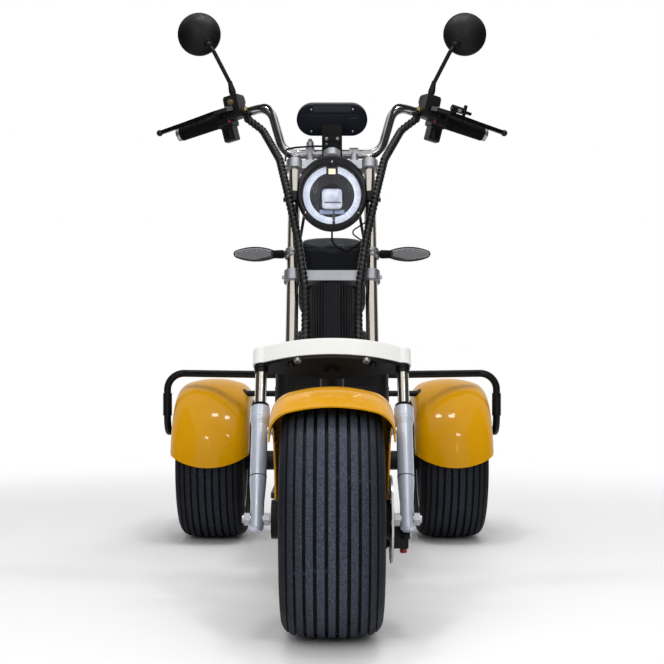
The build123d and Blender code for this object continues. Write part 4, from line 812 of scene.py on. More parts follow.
# Headlight: ringed bowl, cream lamp above the projector, collar and screws
RING_STEP, RING_DEEPER = 4.2, 1.25
bowl = [(68, 1.8), (66.6, 3.2), (66.4, 15.0), (65.4, 15.4), (49.6, 15.2)]
for ring in range(6):
    radius, depth = 49.2 - ring * RING_STEP, 15.6 + ring * RING_DEEPER
    bowl += [(radius, depth - 1.4), (radius - 1.3, depth - 1.2)]
    bowl += [(radius - 1.6, depth + 0.8), (radius - 3.6, depth + 1.1)]
bowl += [(22, 23.4)]
Heap().add(lathe(bowl, LIGHT, -AHEAD, 72)).piece("headlight_bowl", BOWL, "steering", "black_gloss", sharp=15.0)
square = Heap().add(slab(LIGHT + Vector((0, 0.0155, 0.0530)), (16, 3.0, 12.5), 0.8))
square.piece("headlight_square", CREAM, "steering", "lamp_white")
lamp_beads = Heap()
lamp_bead = [(3.2, 0), (3.0, 0.5), (2.0, 0.9), (0, 1.0)]
for count in range(40):
    angle = math.tau * count / 40
    if abs((angle - math.pi / 2 + math.pi) % math.tau - math.pi) < 0.26:
        continue
    around = Vector((math.cos(angle), 0, math.sin(angle)))
    lamp_beads.add(lathe(lamp_bead, LIGHT + around * 0.0575 + Vector((0, 0.0149, 0)), AHEAD, 10))
lamp_beads.piece("headlight_beads", LAMP, "steering", "lamp_white")
eye = Heap()
eye.add(slab(LIGHT + Vector((0, 0.0052, -0.0020)), (36, 4.0, 28), 3.6))
eye_lens = [(12, -0.2), (11.6, 0.8), (9, 1.9), (5, 2.6), (0, 2.9)]
eye.add(lathe(eye_lens, LIGHT + Vector((0, 0.0032, -0.0020)), AHEAD, 36))
eye.piece("headlight_eye", PROJECTOR, "steering", "lamp_white")
shutter = Heap().add(slab(LIGHT + Vector((0.002, 0.0056, -0.0182)), (37, 1.6, 1.8), 0.4))
shutter.piece("headlight_shutter", GLOSS, "steering", "black_gloss")
shelf = Heap().add(slab(LIGHT + Vector((0, 0.0150, -0.0385)), (56, 5, 11), 2.0, Matrix.Rotation(-0.35, 3, "X")))
shelf.piece("headlight_shelf", SHELF, "steering", "lamp_white")
hoops = Heap().add(slab(LIGHT + Vector((0.004, 0.0120, -0.0470)), (4.4, 3, 26), 1.2))
for count in range(5):
    radius, depth = 46.6 - count * RING_STEP, 13.2 + count * RING_DEEPER
    hoop = [(radius, depth + 1.0), (radius - 0.3, depth), (radius - 1.2, depth), (radius - 1.5, depth + 1.0)]
    hoops.add(lathe(hoop, LIGHT, -AHEAD, 72))
hoops.piece("headlight_hoops", HOOPS, "steering", "black_gloss")
brow, brow_faces = [], []
for step in range(72):
    angle = math.tau * step / 72
    swell = abs(math.sin(angle)) ** 1.5 * (9.0 if angle < math.pi else 4.0)
    way, reach = Vector((math.cos(angle), 0, math.sin(angle))), 78.4 + swell
    for radius, depth in ((73.0, 1.0), (reach - 3.0, 1.6), (reach, 5.0), (reach, 18.0), (73.0, 20.0)):
        brow.append(LIGHT + way * radius * MM + Vector((0, depth * MM, 0)))
    for edge in range(4):
        low, high = step * 5 + edge, (step + 1) % 72 * 5 + edge
        brow_faces.append((low, high, high + 1, low + 1))
Heap().add((brow, brow_faces)).piece("headlight_brow", GLOSS, "steering", "black_gloss")
rim_ring = [(68.6, 0.4), (69.2, -0.8), (72.0, -1.6), (75.0, -1.0), (76.2, 0.4)]
Heap().add(lathe(rim_ring, LIGHT, -AHEAD, 96)).piece("headlight_rim", GLOSS, "steering", "black_gloss")
screws = Heap()
for degrees in (90, 215, 325):
    turn = math.radians(degrees)
    around = Vector((math.cos(turn), 0, math.sin(turn))) * 0.0724
    screws.add(*dome_head(LIGHT + around + Vector((0, -0.0012, 0)), AHEAD, 2.6, 1.8))
screws.piece("headlight_screws", ZINC, "steering", "steel")

# Thin lamp wires: one out of the bottom of the bucket, one looped off the bundle beside it
wires = Heap()
drop = LIGHT + Vector((0, 0.040, -0.0765))
tail = [
    drop,
    drop + Vector((0, 0.002, -0.024)),
    drop + Vector((0.010, 0.006, -0.038)),
    drop + Vector((0.034, 0.016, -0.048)),
    drop + Vector((0.062, 0.020, -0.030)),
    fork(80, 71, 655),
]
wires.add(sweep(resample(rounded(tail, 0.014, 6), 0.002), 0.0022, 8))
branch = fork(87, 72, 689)
loop = [
    branch,
    branch + Vector((-0.046, -0.004, -0.030)),
    branch + Vector((-0.032, -0.002, -0.040)),
    fork(74, 68, 628),
]
wires.add(sweep(resample(rounded(loop, 0.008, 6), 0.0015), 0.0017, 8))
wires.piece("lamp_wires", GRIP, "steering", "rubber")

# Bolts of the bridge, clamps and straps, and the key's dome
bright, dark = Heap(), Heap()
for side in (-1, 1):
    bright.add(*socket_head(fork(side * 74, 58, 342), -AXIS, 8, 7))
    for along in (860, 558):
        bright.add(*socket_head(fork(side * 107.6, TUBE_LEAD, along), SIDE * side, 4.6, 4.5))
    dark.add(*hex_head(fork(side * 107, TUBE_LEAD, LIGHT_ALONG), SIDE * side, 9, 6))
    bright.add(*hex_head(fork(side * TUBE_SPREAD, 55, SIGNAL_ALONG), FORWARD, 7, 5))
    bright.add(*hex_head(fork(side * 96, 53, SIGNAL_ALONG), FORWARD + SIDE * side * 0.5, 6, 4))
bright.add(*dome_head(fork(0, 49, 892), AXIS, 9, 2))
bright.piece("fork_bolts", ZINC, "steering", "steel")
dark.piece("strap_bolts", BLACK_METAL, "steering", "black_metal")

# Dust seals and rings on the fork legs, bolts of the front fender
seals, rings, pegs = Heap(), Heap(), Heap()
dust_seal = [(18.6, 0), (19.2, 1.2), (18.4, 4.6), (15.2, 7.0), (12.8, 7.4)]
peg_ring = [(7.0, 0), (10.5, 0.4), (10.5, 3.2), (7.0, 3.6)]
leg_ring = [(21.0, 0), (21.5, 0.6), (21.5, 2.6), (21.0, 3.2)]
leg_band = [(17.5, 0), (18.1, 0.4), (18.1, 1.6), (17.5, 2.0)]
for side in (-1, 1):
    seals.add(lathe(dust_seal, fork(side * LEG_SPREAD, LEG_LEAD, 252), AXIS, 32))
    rings.add(lathe(leg_ring, fork(side * LEG_SPREAD, LEG_LEAD, 226), AXIS, 36))
    seals.add(lathe(leg_band, fork(side * LEG_SPREAD, LEG_LEAD, 92), AXIS, 36))
    boss = fork(side * LEG_SPREAD, LEG_LEAD, 198)
    for drop in (0.0, 0.020):
        inside = Vector((side * 0.1228, boss.y, boss.z - drop))
        pegs.add(*hex_head(inside, -SIDE * side, 9, 6))
    rings.add(lathe(peg_ring, Vector((side * 0.1265, boss.y, boss.z)), SIDE * side, 20))
seals.piece("leg_seals", GRIP, "steering", "rubber")
rings.piece("leg_rings", SILVER, "steering", "silver_paint")
pegs.piece("fender_pegs", BLACK_METAL, "steering", "black_metal")

# Caliper: red cap and pins
cap = Vector((0.150, AXLE_Y * MM + 0.058, 0.170))
Heap().add(lathe([(7.3, 1.5), (7.6, 2.2), (7.6, 9.0), (6.4, 10.6), (3, 11.4), (0, 11.4)], cap, -UP, 20)).piece(
    "caliper_cap", RED, "steering", "red_lens"
)
pins = Heap()
pins.add(*hex_head(Vector((0.160, AXLE_Y * MM + 0.060, 0.194)), SIDE, 9, 6))
pins.add(*hex_head(Vector((0.160, AXLE_Y * MM + 0.084, 0.194)), SIDE, 9, 6))
pins.add(*socket_head(Vector((0.160, AXLE_Y * MM + 0.010, 0.207)), SIDE, 5, 5))
pins.piece("caliper_pins", ZINC, "steering", "steel")

# Controls: cylinder lids, switches, lever pivots, and a small latch over the left grip
lids, buttons, pivots, latch, red_bits = Heap(), Heap(), Heap(), Heap(), Heap()
bar_turn = Matrix((BAR_WAY, BAR_BACK, BAR_UP)).transposed()
lids.both(slab(bar_point(GRIP_LENGTH + 56, -16, 43.4), (34, 46, 3), 1.2, bar_turn))
lids.both(slab(bar_point(GRIP_LENGTH + 19, 0, 22.2), (30, 38, 3), 1.2, bar_turn))
buttons.both(slab(bar_point(GRIP_LENGTH + 19, -24.4, 6), (20, 4, 9), 1.4, bar_turn))
buttons.both(slab(bar_point(GRIP_LENGTH + 21, -19.2, -38), (17, 4, 22), 1.6, bar_turn))
red_bits.both(slab(bar_point(GRIP_LENGTH + 34, -24.4, -9), (6, 3.6, 12), 1.2, bar_turn))
pivots.both(*dome_head(bar_point(GRIP_LENGTH + 46, -50, 14.6), BAR_UP, 6, 3))
pivots.both(*dome_head(bar_point(GRIP_LENGTH + 48, -2, 44.8), BAR_UP, 3, 1.6))
pivots.both(*dome_head(bar_point(GRIP_LENGTH + 66, -30, 44.8), BAR_UP, 3, 1.6))
bleed = twin(bar_point(GRIP_LENGTH + 56, -42, 27))
sight = Heap().add(*hex_head(bleed, twin(-BAR_BACK), 11, 5))
sight.piece("sight_bolt", BRASS, "steering", "steel")
latch.add(slab(bar_point(101, -26, 24), (8, 26, 16), 2.0, bar_turn))
latch.add(lathe([(0, 0), (7, 0), (8, 1), (8, 29), (7, 30), (0, 30)], bar_point(112, -34, 31), BAR_WAY, 18))
latch.add(slab(bar_point(76, -34, 27), (8, 8, 40), 2.4, bar_turn))
latch.add(lathe([(4, 0), (4, 15), (3, 16), (0, 16)], bar_point(73, -34, 30), BAR_WAY, 12))
pivots.add(lathe([(0, 0), (3.4, 0), (3.4, 9), (0, 9)], bar_point(98, -42, 28), BAR_WAY, 10))
lids.piece("control_lids", BLACK_METAL, "steering", "black_plastic")
buttons.piece("control_buttons", GLOSS, "steering", "black_plastic")
pivots.piece("control_screws", ZINC, "steering", "steel")
latch.piece("lever_latch", BLACK_METAL, "steering", "black_metal")
red_bits.piece("control_reds", RED, "steering", "red_lens")

# Display: panel, bevel and screws on its front, glass towards the rider
tilt = math.radians(18)
DISPLAY_WAY = Vector((0, math.cos(tilt), math.sin(tilt)))
DISPLAY_UP = Vector((0, -math.sin(tilt), math.cos(tilt)))
BAR_MID = Vector((0, BAR_LOW.y, BAR_LOW.z))
DISPLAY_MID = BAR_MID + DISPLAY_UP * 0.080 + DISPLAY_WAY * 0.0032


def pill(width, height, steps=20):
    """Points round a slot outline, in metres, as (side, up)."""
    radius, half = height / 2, (width - height) / 2
    points = []
    for step in range(steps + 1):
        angle = -math.pi / 2 + math.pi * step / steps
        points.append((half + radius * math.cos(angle), radius * math.sin(angle)))
    for step in range(steps + 1):
        angle = math.pi / 2 + math.pi * step / steps
        points.append((-half + radius * math.cos(angle), radius * math.sin(angle)))
    return points


def plate(outlines, origin, side_way, up_way, out_way):
    """A stack of outlines, each (points, height in metres), closed at the last one."""
    points, faces = [], []
    count = len(outlines[0][0])
    for outline, height in outlines:
        points += [origin + side_way * x + up_way * y + out_way * height for x, y in outline]
    for row in range(len(outlines) - 1):
        for step in range(count):
            after = (step + 1) % count
            low, high = row * count, (row + 1) * count
            faces.append((low + step, low + after, high + after, high + step))
    faces.append(tuple(range((len(outlines) - 1) * count, len(outlines) * count)))
    return points, faces


panel = Heap()
panel.add(plate(
    [(pill(0.146, 0.044), -0.0005), (pill(0.146, 0.044), 0.0010), (pill(0.144, 0.042), 0.0016)],
    DISPLAY_MID - DISPLAY_UP * 0.007, SIDE, DISPLAY_UP, -DISPLAY_WAY,
))
panel.piece("display_panel", DISPLAY, "steering", "black_plastic")
display_turn = Matrix((SIDE, DISPLAY_WAY, DISPLAY_UP)).transposed()
bevel = Heap().add(slab(DISPLAY_MID + DISPLAY_UP * 0.0255 - DISPLAY_WAY * 0.0004, (90, 2.4, 15), 1.0, display_turn))
groove = DISPLAY_MID + SIDE * 0.050 + DISPLAY_UP * 0.005 - DISPLAY_WAY * 0.0014
bevel.add(slab(groove, (19, 1.2, 2.4), 0.4, display_turn))
bevel.piece("display_bevel", BEVEL, "steering", "black_plastic")
screen = Heap().add(plate(
    [(pill(0.150, 0.058), 0.0), (pill(0.150, 0.058), 0.0012), (pill(0.148, 0.056), 0.0017)],
    DISPLAY_MID + DISPLAY_WAY * 0.0282, -SIDE, DISPLAY_UP, DISPLAY_WAY,
))
screen.piece("display_screen", GLOSS, "steering", "black_gloss")
display_screws = Heap()
for x, y in ((-49, 25), (49, 25), (-49, -26), (49, -26)):
    head = DISPLAY_MID + SIDE * x * MM + DISPLAY_UP * y * MM - DISPLAY_WAY * 0.0016
    display_screws.add(*dome_head(head, -DISPLAY_WAY, 2.6, 1.6))
for x in (-13, 13):
    head = BAR_MID + SIDE * x * MM + DISPLAY_UP * 0.037 - DISPLAY_WAY * 0.0042
    display_screws.add(*dome_head(head, -DISPLAY_WAY, 5.0, 2.8))
head = BAR_MID - SIDE * 0.013 + DISPLAY_UP * 0.025 - DISPLAY_WAY * 0.003
display_screws.add(*dome_head(head, -DISPLAY_WAY, 3.0, 1.8))
display_screws.piece("display_screws", ZINC, "steering", "steel")
strap = Heap().add(slab(BAR_MID + DISPLAY_UP * 0.037 - DISPLAY_WAY * 0.0036, (46, 1.6, 16), 0.6, display_turn))
strap.piece("display_strap", BLACK_METAL, "steering", "black_metal")

# Mirrors: ball joints, lock nuts and glass rims
balls, lock_nuts = Heap(), Heap()
arm_foot = bar_point(GRIP_LENGTH + 56, -14, 42.7)
mirror_centre = arm_foot + Vector((0.0842, 0.0053, 0.1537))
ball = mirror_centre + Vector((-0.024, -0.0165, -0.029))
round_ball = [(0, -9), (5, -8), (8, -4.5), (9, 0), (8, 4.5), (5, 8), (0, 9)]
balls.both(lathe(round_ball, ball, Vector((-0.5, -0.7, -0.6)), 20))
balls.both(lathe([(11.5, -6), (12.5, -4.5), (11.5, -3), (9, -2.4)], ball, Vector((-0.5, -0.8, -0.6)), 24))
lock_nuts.both(*hex_head(arm_foot, BAR_UP, 13, 9))
balls.both(lathe([(5.4, 0), (8.4, 0.6), (8.4, 8), (6.4, 20), (5.4, 30)], arm_foot + BAR_UP * 0.009, BAR_UP, 20))
balls.piece("mirror_joints", PLASTIC, "steering", "black_plastic")
lock_nuts.piece("mirror_nuts", BLACK_METAL, "steering", "black_metal")
glass_rim = [(52.0, 2.0), (52.4, 3.4), (51.4, 4.6), (49.4, 4.4), (48.6, 3.2)]
glass_rims = Heap().both(lathe(glass_rim, mirror_centre, -AHEAD, 64))
glass_rims.piece("mirror_rims", PLASTIC, "steering", "black_plastic")

# Turn signals: lens ribs and rubber boots
ribs = Heap()
signal = fork(TUBE_SPREAD, TUBE_LEAD, SIGNAL_ALONG)
for count in range(6):
    x = 146 + count * 11.5
    tall = 20 - abs(count - 2.2) * 2.4
    ribs.both(slab(Vector((x * MM, signal.y - 0.0205, signal.z)), (2.2, 1.6, tall), 0.7))
ribs.piece("signal_ribs", GREY_LENS, "steering", "grey_lens")
boots = Heap().both(lathe([(7.6, 0), (9.6, 0.8), (9.8, 8), (9.2, 24), (7.8, 26)], signal + SIDE * 0.0205, SIDE, 20))
boots.piece("signal_boots", GRIP, "steering", "rubber")

# Fender edges: a rolled bead along both sides
def fender_bead(centre, width, start, arc, bow):
    """Runs along a fender's two side edges; with a bow they stop about that far above the hub at the front."""
    half = width / 2 - 1.0
    low = TYRE_RADIUS - 50.0 + 3.0
    rim = []
    steps = 60
    for hand in (1, -1):
        edge = []
        for step in range(steps + 1):
            angle = math.radians(start + arc * step / steps)
            way = Vector((0, -math.cos(angle), math.sin(angle)))
            point = centre + SIDE * hand * half * MM + way * low * MM
            if bow and way.y < 0 and (point.z - centre.z) * 1000 < bow * 0.93:
                continue
            edge.append(point)
        rim.append(edge)
    return rim


beads, front_beads = Heap(), Heap()
for edge in fender_bead(FRONT_HUB, 252, 61, 122, 0):
    front_beads.add(sweep(edge, 0.0021, 8))
front_beads.piece("front_fender_bead", YELLOW, "steering", "yellow")
for centre in (REAR_LEFT, REAR_RIGHT):
    for edge in fender_bead(centre, 234, -12, 178, 38):
        beads.add(sweep(edge, 0.0021, 8))
beads.piece("rear_fender_beads", YELLOW, "chassis", "yellow")

# Guard tubes: clamp sleeves and weld rings
sleeves = Heap()
GUARD_SPREAD = 505
upright = [(11.1, 0), (13.6, 0.8), (13.8, 4), (13.8, 66), (13.6, 69), (11.1, 70)]
cuff = [(11.1, 0), (13.4, 0.8), (13.4, 39), (11.1, 40)]
weld = [(11.0, 3.0), (14.6, 2.6), (17.4, 0.6), (17.8, 0.0)]
for side in (-1, 1):
    top = spot(side * GUARD_SPREAD, 1240, 452)
    sleeves.add(lathe(upright, top - UP * 0.070, UP, 28))
    sleeves.add(lathe(cuff, spot(side * GUARD_SPREAD, 1540, 330), -AHEAD, 28))
    sleeves.add(lathe(weld, spot(side * 152.2, 1070, 512), SIDE * side, 24))
sleeves.piece("guard_sleeves", BLACK_METAL, "chassis", "black_metal")

# Deck mat with ribs and edge screws
mat, deck_screws = Heap(), Heap()
for side in (-1, 1):
    mat.add(slab(spot(side * 88, 548, 249.8), (100, 262, 2.4), 1.0))
    for row in range(9):
        mat.add(slab(spot(side * (48 + row * 10), 548, 251.4), (5, 252, 2.2), 0.9))
    for back in (392, 528, 676):
        deck_screws.add(*dome_head(spot(side * 139, back, 248.6), UP, 3.6, 1.8))
mat.piece("deck_mat", MAT, "chassis", "rubber")
deck_screws.piece("deck_screws", ZINC, "chassis", "steel")

# Seat box: raised panels, their ribs and the inlet's ring
panels, panel_ribs = Heap(), Heap()
panels.add(slab(spot(0, 699.4, 380), (236, 3.2, 220), 1.4))
for row in range(5):
    panel_ribs.add(slab(spot(0, 697.6, 320 + row * 30), (180, 2.6, 9), 1.2))
for side in (-1, 1):
    panels.add(slab(spot(side * 152.6, 920, 380), (3.0, 260, 210), 1.3))
    for row in range(4):
        panel_ribs.add(slab(spot(side * 154.4, 930, 330 + row * 34), (2.4, 180, 9), 1.1))
panels.piece("box_panels", PLASTIC, "chassis", "black_plastic")
panel_ribs.piece("box_ribs", BLACK_METAL, "chassis", "black_plastic")
inlet_lip = [(8.2, 3.6), (8.6, 4.6), (14.2, 4.6), (15.4, 3.6), (15.4, 0.2)]
inlet = Heap().add(lathe(inlet_lip, spot(152, 770, 420), SIDE, 28))
inlet.piece("inlet_ring", ZINC, "chassis", "steel")

# Battery case: straps under it and up its sides
straps = Heap()
for back in (560, 735, 910):
    straps.add(slab(spot(0, back, 115.6), (240, 26, 3), 1.2))
    for side in (-1, 1):
        straps.add(slab(spot(side * 119.4, back, 156), (3, 26, 78), 1.2))
straps.piece("battery_straps", STEEL, "chassis", "steel")

# Spring struts: dampers and coils
struts, coils = Heap(), Heap()
foot, head = spot(85, 1306, 268.2), spot(85, 1278, 474)
strut_way = (head - foot).normalized()
strut_length = (head - foot).length * 1000
struts.both(lathe(
    [(0, 0), (9, 0), (9, 14), (22, 16), (24, 18), (24, 24), (14, 26), (14, 96), (8, 100),
     (8, strut_length - 34), (14, strut_length - 30), (24, strut_length - 28), (24, strut_length - 22),
     (22, strut_length - 20), (9, strut_length - 18), (9, strut_length), (0, strut_length)],
    foot, strut_way, 28,
))
first, second = basis(strut_way)
helix = []
turns, low, high = 6.5, 26.0, strut_length - 30.0
for step in range(int(turns * 20) + 1):
    share = step / (turns * 20)
    angle = math.tau * turns * share
    along = strut_way * (low + (high - low) * share) * MM
    around = first * math.cos(angle) + second * math.sin(angle)
    helix.append(foot + along + around * 0.0195)
coils.both(sweep(helix, 0.0036, 8))
struts.piece("strut_dampers", ZINC, "chassis", "steel", stands_for=["spring_struts"])
coils.piece("strut_coils", GLOSS, "chassis", "black_metal")

# Drive unit: cooling fins
fins = Heap()
hub = spot(0, WHEELBASE, TYRE_RADIUS)
for count in range(9):
    x = -40 + count * 10
    fins.add(lathe([(77.6, -1.6), (80.4, -1.2), (80.4, 1.2), (77.6, 1.6)], hub + SIDE * x * MM, SIDE, 72))
fins.piece("motor_fins", ALLOY, "chassis", "aluminium")

# Round feet where the fender bar meets the rear fenders
feet = Heap()
fender_foot = [(0, -5), (12, -5), (14, -3), (14, 0.6), (12.4, 2.4), (6, 3.4), (0, 3.6)]
for side in (-1, 1):
    feet.add(lathe(fender_foot, spot(side * 262, 1240, 453), Vector((-0.72 * side, -0.24, 0.65)), 24))
feet.piece("fender_feet", BLACK_METAL, "chassis", "black_metal")

# Tail lamp: ribbed lens and a black frame
lamp_ribs, lamp_frame = Heap(), Heap()
for count in range(11):
    lamp_ribs.add(slab(spot((count - 5) * 12.4, 1344.4, 490), (5, 1.8, 32), 0.8))
lamp_frame.add(slab(spot(0, 1318.6, 490), (166, 6, 50), 2.5))
lamp_ribs.piece("tail_ribs", RED_LENS, "chassis", "red_lens")
lamp_frame.piece("tail_frame", PLASTIC, "chassis", "black_plastic")


# Padded seat and backrest
def padded(name, stands_for, voxel, cap, held):
    """Blows up a slightly smaller copy of a soft solid; held(point) says which points stay put."""
    source = nodes[stands_for]
    low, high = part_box(stands_for)
    middle, size = (low + high) / 2, high - low
    mesh = source.data.copy()
    pad = bpy.data.objects.new(name, mesh)
    bpy.context.scene.collection.objects.link(pad)
    for vert in mesh.vertices:
        for axis in range(3):
            shrink = 1.0 - 2.0 * cap * 0.4 / size[axis]
            if not held(vert.co):
                vert.co[axis] = middle[axis] + (vert.co[axis] - middle[axis]) * shrink
    remesh = pad.modifiers.new("remesh", "REMESH")
    remesh.mode = "VOXEL"
    remesh.voxel_size = voxel
    smooth = pad.modifiers.new("smooth", "SMOOTH")
    smooth.iterations = 2
    graph = bpy.context.evaluated_depsgraph_get()
    pad.data = bpy.data.meshes.new_from_object(pad.evaluated_get(graph))
    pad.modifiers.clear()
    start = [vert.co.copy() for vert in pad.data.vertices]
    pins = pad.vertex_groups.new(name="held")
    pins.add([index for index, point in enumerate(start) if held(point)], 1.0, "REPLACE")
    cloth = pad.modifiers.new("cloth", "CLOTH")
    cloth.settings.vertex_group_mass = "held"
    cloth.settings.use_pressure = True
    cloth.settings.uniform_pressure_force = 3.0
    cloth.settings.tension_stiffness = 12.0
    cloth.settings.compression_stiffness = 12.0
    cloth.settings.bending_stiffness = 0.6
    cloth.settings.effector_weights.gravity = 0.0
    scene = bpy.context.scene
    for count in range(1, 21):
        scene.frame_set(count)
    graph = bpy.context.evaluated_depsgraph_get()
    grown = [vert.co.copy() for vert in pad.evaluated_get(graph).data.vertices]
    scene.frame_set(1)
    pad.modifiers.clear()
    for vert, begin, end in zip(pad.data.vertices, start, grown):
        move = end - begin
        if move.length > cap:
            move *= cap / move.length
        vert.co = begin + move
    relax = pad.modifiers.new("relax", "SMOOTH")
    relax.factor = 0.5
    relax.iterations = 6
    graph = bpy.context.evaluated_depsgraph_get()
    pad.data = bpy.data.meshes.new_from_object(pad.evaluated_get(graph))
    pad.modifiers.clear()
    pad.data.shade_smooth()
    return pad


def seam_dip(pad, distance, width, depth):
    """Presses a seam into a pad; distance(point) is the way to the seam, in metres."""
    pad.data.update()
    normals = [vert.normal.copy() for vert in pad.data.vertices]
    for vert, normal in zip(pad.data.vertices, normals):
        away = abs(distance(vert.co))
        if away < width:
            vert.co -= normal * depth * (1.0 - away / width) ** 1.5


seat = padded("seat_pad", "seat", 0.006, 0.012, lambda point: point.z < 0.548)
seat.data.materials.clear()
seat.data.materials.append(COVER)
seam_dip(seat, lambda point: (point.y - (AXLE_Y + 962) * MM) if point.z > 0.575 else 1.0, 0.010, 0.005)
seam_dip(seat, lambda point: point.z - 0.572 if abs(point.x) > 0.12 or point.y > 0.5 else 1.0, 0.008, 0.003)
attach(seat, "chassis")
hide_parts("seat")

back = padded("backrest_pad", "backrest", 0.005, 0.008, lambda point: point.y > 0.584)
back.data.materials.clear()
back.data.materials.append(COVER)
back.data.materials.append(BAND)
BAND_LINE = 0.898
seam_dip(back, lambda point: (point.z - BAND_LINE) if point.y < 0.575 else 1.0, 0.008, 0.005)
for face in back.data.polygons:
    if face.center.z > BAND_LINE + 0.001:
        face.material_index = 1
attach(back, "chassis")
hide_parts("backrest")
for pad in (seat, back):
    finer = pad.modifiers.new("finer", "SUBSURF")
    finer.levels = 1
    finer.render_levels = 1

# Plain pale floor that fades into the white surround, in metres from its middle
FADE_START, FADE_END = 1.2, 3.2
floor_mesh = bpy.data.meshes.new("floor")
floor_mesh.from_pydata([(-9, -9, 0), (9, -9, 0), (9, 9, 0), (-9, 9, 0)], [], [(0, 1, 2, 3)])
floor = bpy.data.objects.new("floor", floor_mesh)
bpy.context.scene.collection.objects.link(floor)
pale = bpy.data.materials.new("Pale Floor")
pale.use_nodes = True
tree = pale.node_tree
shader = tree.nodes["Principled BSDF"]
shader.inputs["Base Color"].default_value = (0.9, 0.9, 0.9, 1.0)
shader.inputs["Roughness"].default_value = 0.9
shader.inputs["Specular IOR Level"].default_value = 0.1
where = tree.nodes.new("ShaderNodeTexCoord")
reach = node(tree, "ShaderNodeVectorMath", operation="LENGTH")
tree.links.new(where.outputs["Object"], reach.inputs[0])
glow = node(tree, "ShaderNodeEmission", Strength=1.0)
blend = tree.nodes.new("ShaderNodeMixShader")
tree.links.new(span(tree, reach.outputs["Value"], FADE_START, FADE_END), blend.inputs[0])
tree.links.new(shader.outputs[0], blend.inputs[1])
tree.links.new(glow.outputs[0], blend.inputs[2])
tree.links.new(blend.outputs[0], tree.nodes["Material Output"].inputs["Surface"])
floor_mesh.materials.append(pale)
floor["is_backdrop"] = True

# Two dark flags beside the object, as a studio sets them for bright metal: only reflections show them
flag_mesh = bpy.data.meshes.new("flags")
FLAG_SIDE, FLAG_NEAR, FLAG_FAR, FLAG_LOW, FLAG_TOP = 1.6, -2.4, 0.6, 0.1, 2.6
corners = [(FLAG_NEAR, FLAG_LOW), (FLAG_FAR, FLAG_LOW), (FLAG_FAR, FLAG_TOP), (FLAG_NEAR, FLAG_TOP)]
flag_points = [(hand * FLAG_SIDE, y, z) for hand in (-1, 1) for y, z in corners]
flag_mesh.from_pydata(flag_points, [], [(0, 1, 2, 3), (7, 6, 5, 4)])
flags = bpy.data.objects.new("flags", flag_mesh)
bpy.context.scene.collection.objects.link(flags)
flag_cloth = bpy.data.materials.new("Dark Flag")
flag_cloth.use_nodes = True
shader_of(flag_cloth).inputs["Base Color"].default_value = (0.05, 0.045, 0.04, 1.0)
shader_of(flag_cloth).inputs["Roughness"].default_value = 1.0
flag_mesh.materials.append(flag_cloth)
flags.visible_camera = flags.visible_diffuse = flags.visible_shadow = flags.visible_transmission = False
flags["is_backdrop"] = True

# White surround for the camera, metal and glass, a softer one for light
world = bpy.data.worlds.new("surround")
bpy.context.scene.world = world
world.use_nodes = True
tree = world.node_tree
tree.nodes.clear()
path = tree.nodes.new("ShaderNodeLightPath")
where = tree.nodes.new("ShaderNodeTexCoord")
parts = tree.nodes.new("ShaderNodeSeparateXYZ")
tree.links.new(where.outputs["Generated"], parts.inputs[0])
height = span(tree, parts.outputs[2], -0.1, 0.9)
soft = node(tree, "ShaderNodeBackground", Strength=0.5)
tree.links.new(mixer(tree, height, (0.5, 0.5, 0.51, 1.0), (1.0, 1.0, 1.0, 1.0)), soft.inputs["Color"])
plain = node(tree, "ShaderNodeBackground", Color=(1.0, 1.0, 1.0, 1.0), Strength=1.0)
bounced = sums(tree, "MAXIMUM", path.outputs["Is Glossy Ray"], path.outputs["Is Transmission Ray"])
seen = sums(tree, "MAXIMUM", path.outputs["Is Camera Ray"], bounced)
choose = tree.nodes.new("ShaderNodeMixShader")
tree.links.new(seen, choose.inputs[0])
tree.links.new(soft.outputs[0], choose.inputs[1])
tree.links.new(plain.outputs[0], choose.inputs[2])
out = tree.nodes.new("ShaderNodeOutputWorld")
tree.links.new(choose.outputs[0], out.inputs["Surface"])

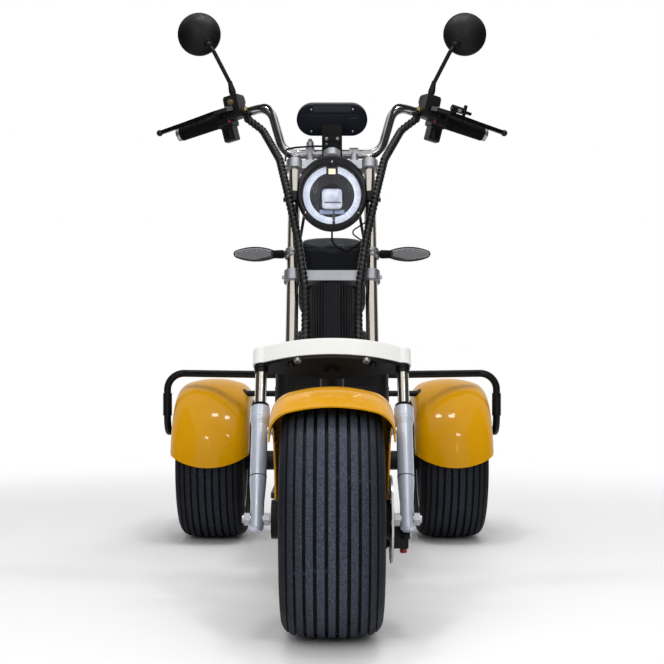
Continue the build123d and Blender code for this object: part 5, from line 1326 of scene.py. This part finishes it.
# Soft lights that stay out of reflections, and small panels and windows that show in them
for name, place, target, size, power, shown in (
    ("overhead", (0.0, -0.8, 3.4), (0.0, -0.1, 0.5), (2.6, 2.6), 34.0, False),
    ("front_left", (-2.2, -3.8, 2.2), (0.0, -0.4, 0.6), (1.8, 1.8), 25.0, False),
    ("front_right", (2.2, -3.8, 2.0), (0.0, -0.4, 0.6), (1.8, 1.8), 21.0, False),
    ("rear_fill", (1.4, 3.8, 2.4), (0.0, 0.4, 0.6), (2.0, 2.0), 34.0, False),
    ("panel_left", (-1.0, -2.9, 2.7), (0.0, -0.2, 0.5), (0.24, 0.2), 7.0, True),
    ("panel_right", (1.1, -2.6, 2.9), (0.0, -0.2, 0.5), (0.24, 0.2), 7.0, True),
    ("ceiling_left", (-0.30, -0.5, 3.0), (-0.3, 0.4, 0.5), (0.3, 0.24), 10.0, True),
    ("ceiling_right", (0.42, -0.6, 3.0), (0.3, 0.4, 0.5), (0.3, 0.24), 10.0, True),
    ("window_left", (-0.7, -3.0, 1.7), (-0.3, 0.4, 0.4), (0.3, 0.8), 4.5, True),
    ("window_right", (0.8, -3.0, 1.7), (0.3, 0.4, 0.4), (0.3, 0.8), 4.5, True),
):
    data = bpy.data.lights.new(name, "AREA")
    data.shape = "RECTANGLE"
    data.size, data.size_y = size
    data.energy = power
    lamp = bpy.data.objects.new(name, data)
    lamp.location = place
    lamp.rotation_mode = "QUATERNION"
    lamp.rotation_quaternion = (Vector(target) - Vector(place)).to_track_quat("-Z", "Y")
    lamp.visible_glossy = shown
    bpy.context.scene.collection.objects.link(lamp)

# Camera where the photograph was taken from: straight ahead, level, 2.5 m before the front axle
PICTURE_WIDTH, FOCAL_LENGTH, HORIZON_RISE = 664.0, 1218.0, 16.6  # pixels
CAMERA_AHEAD, CAMERA_HEIGHT, SENSOR_WIDTH = 2500.0, 588.0, 36.0  # millimetres
view = bpy.data.cameras.new("camera")
view.sensor_width = SENSOR_WIDTH
view.lens = FOCAL_LENGTH / PICTURE_WIDTH * SENSOR_WIDTH
view.shift_y = HORIZON_RISE / PICTURE_WIDTH
camera = bpy.data.objects.new("camera", view)
camera.location = (0.0, (AXLE_Y - CAMERA_AHEAD) * MM, CAMERA_HEIGHT * MM)
camera.rotation_euler = (math.radians(90.0), 0.0, 0.0)
bpy.context.scene.collection.objects.link(camera)
bpy.context.scene.camera = camera
bpy.context.scene.view_settings.view_transform = "Standard"

low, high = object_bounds()
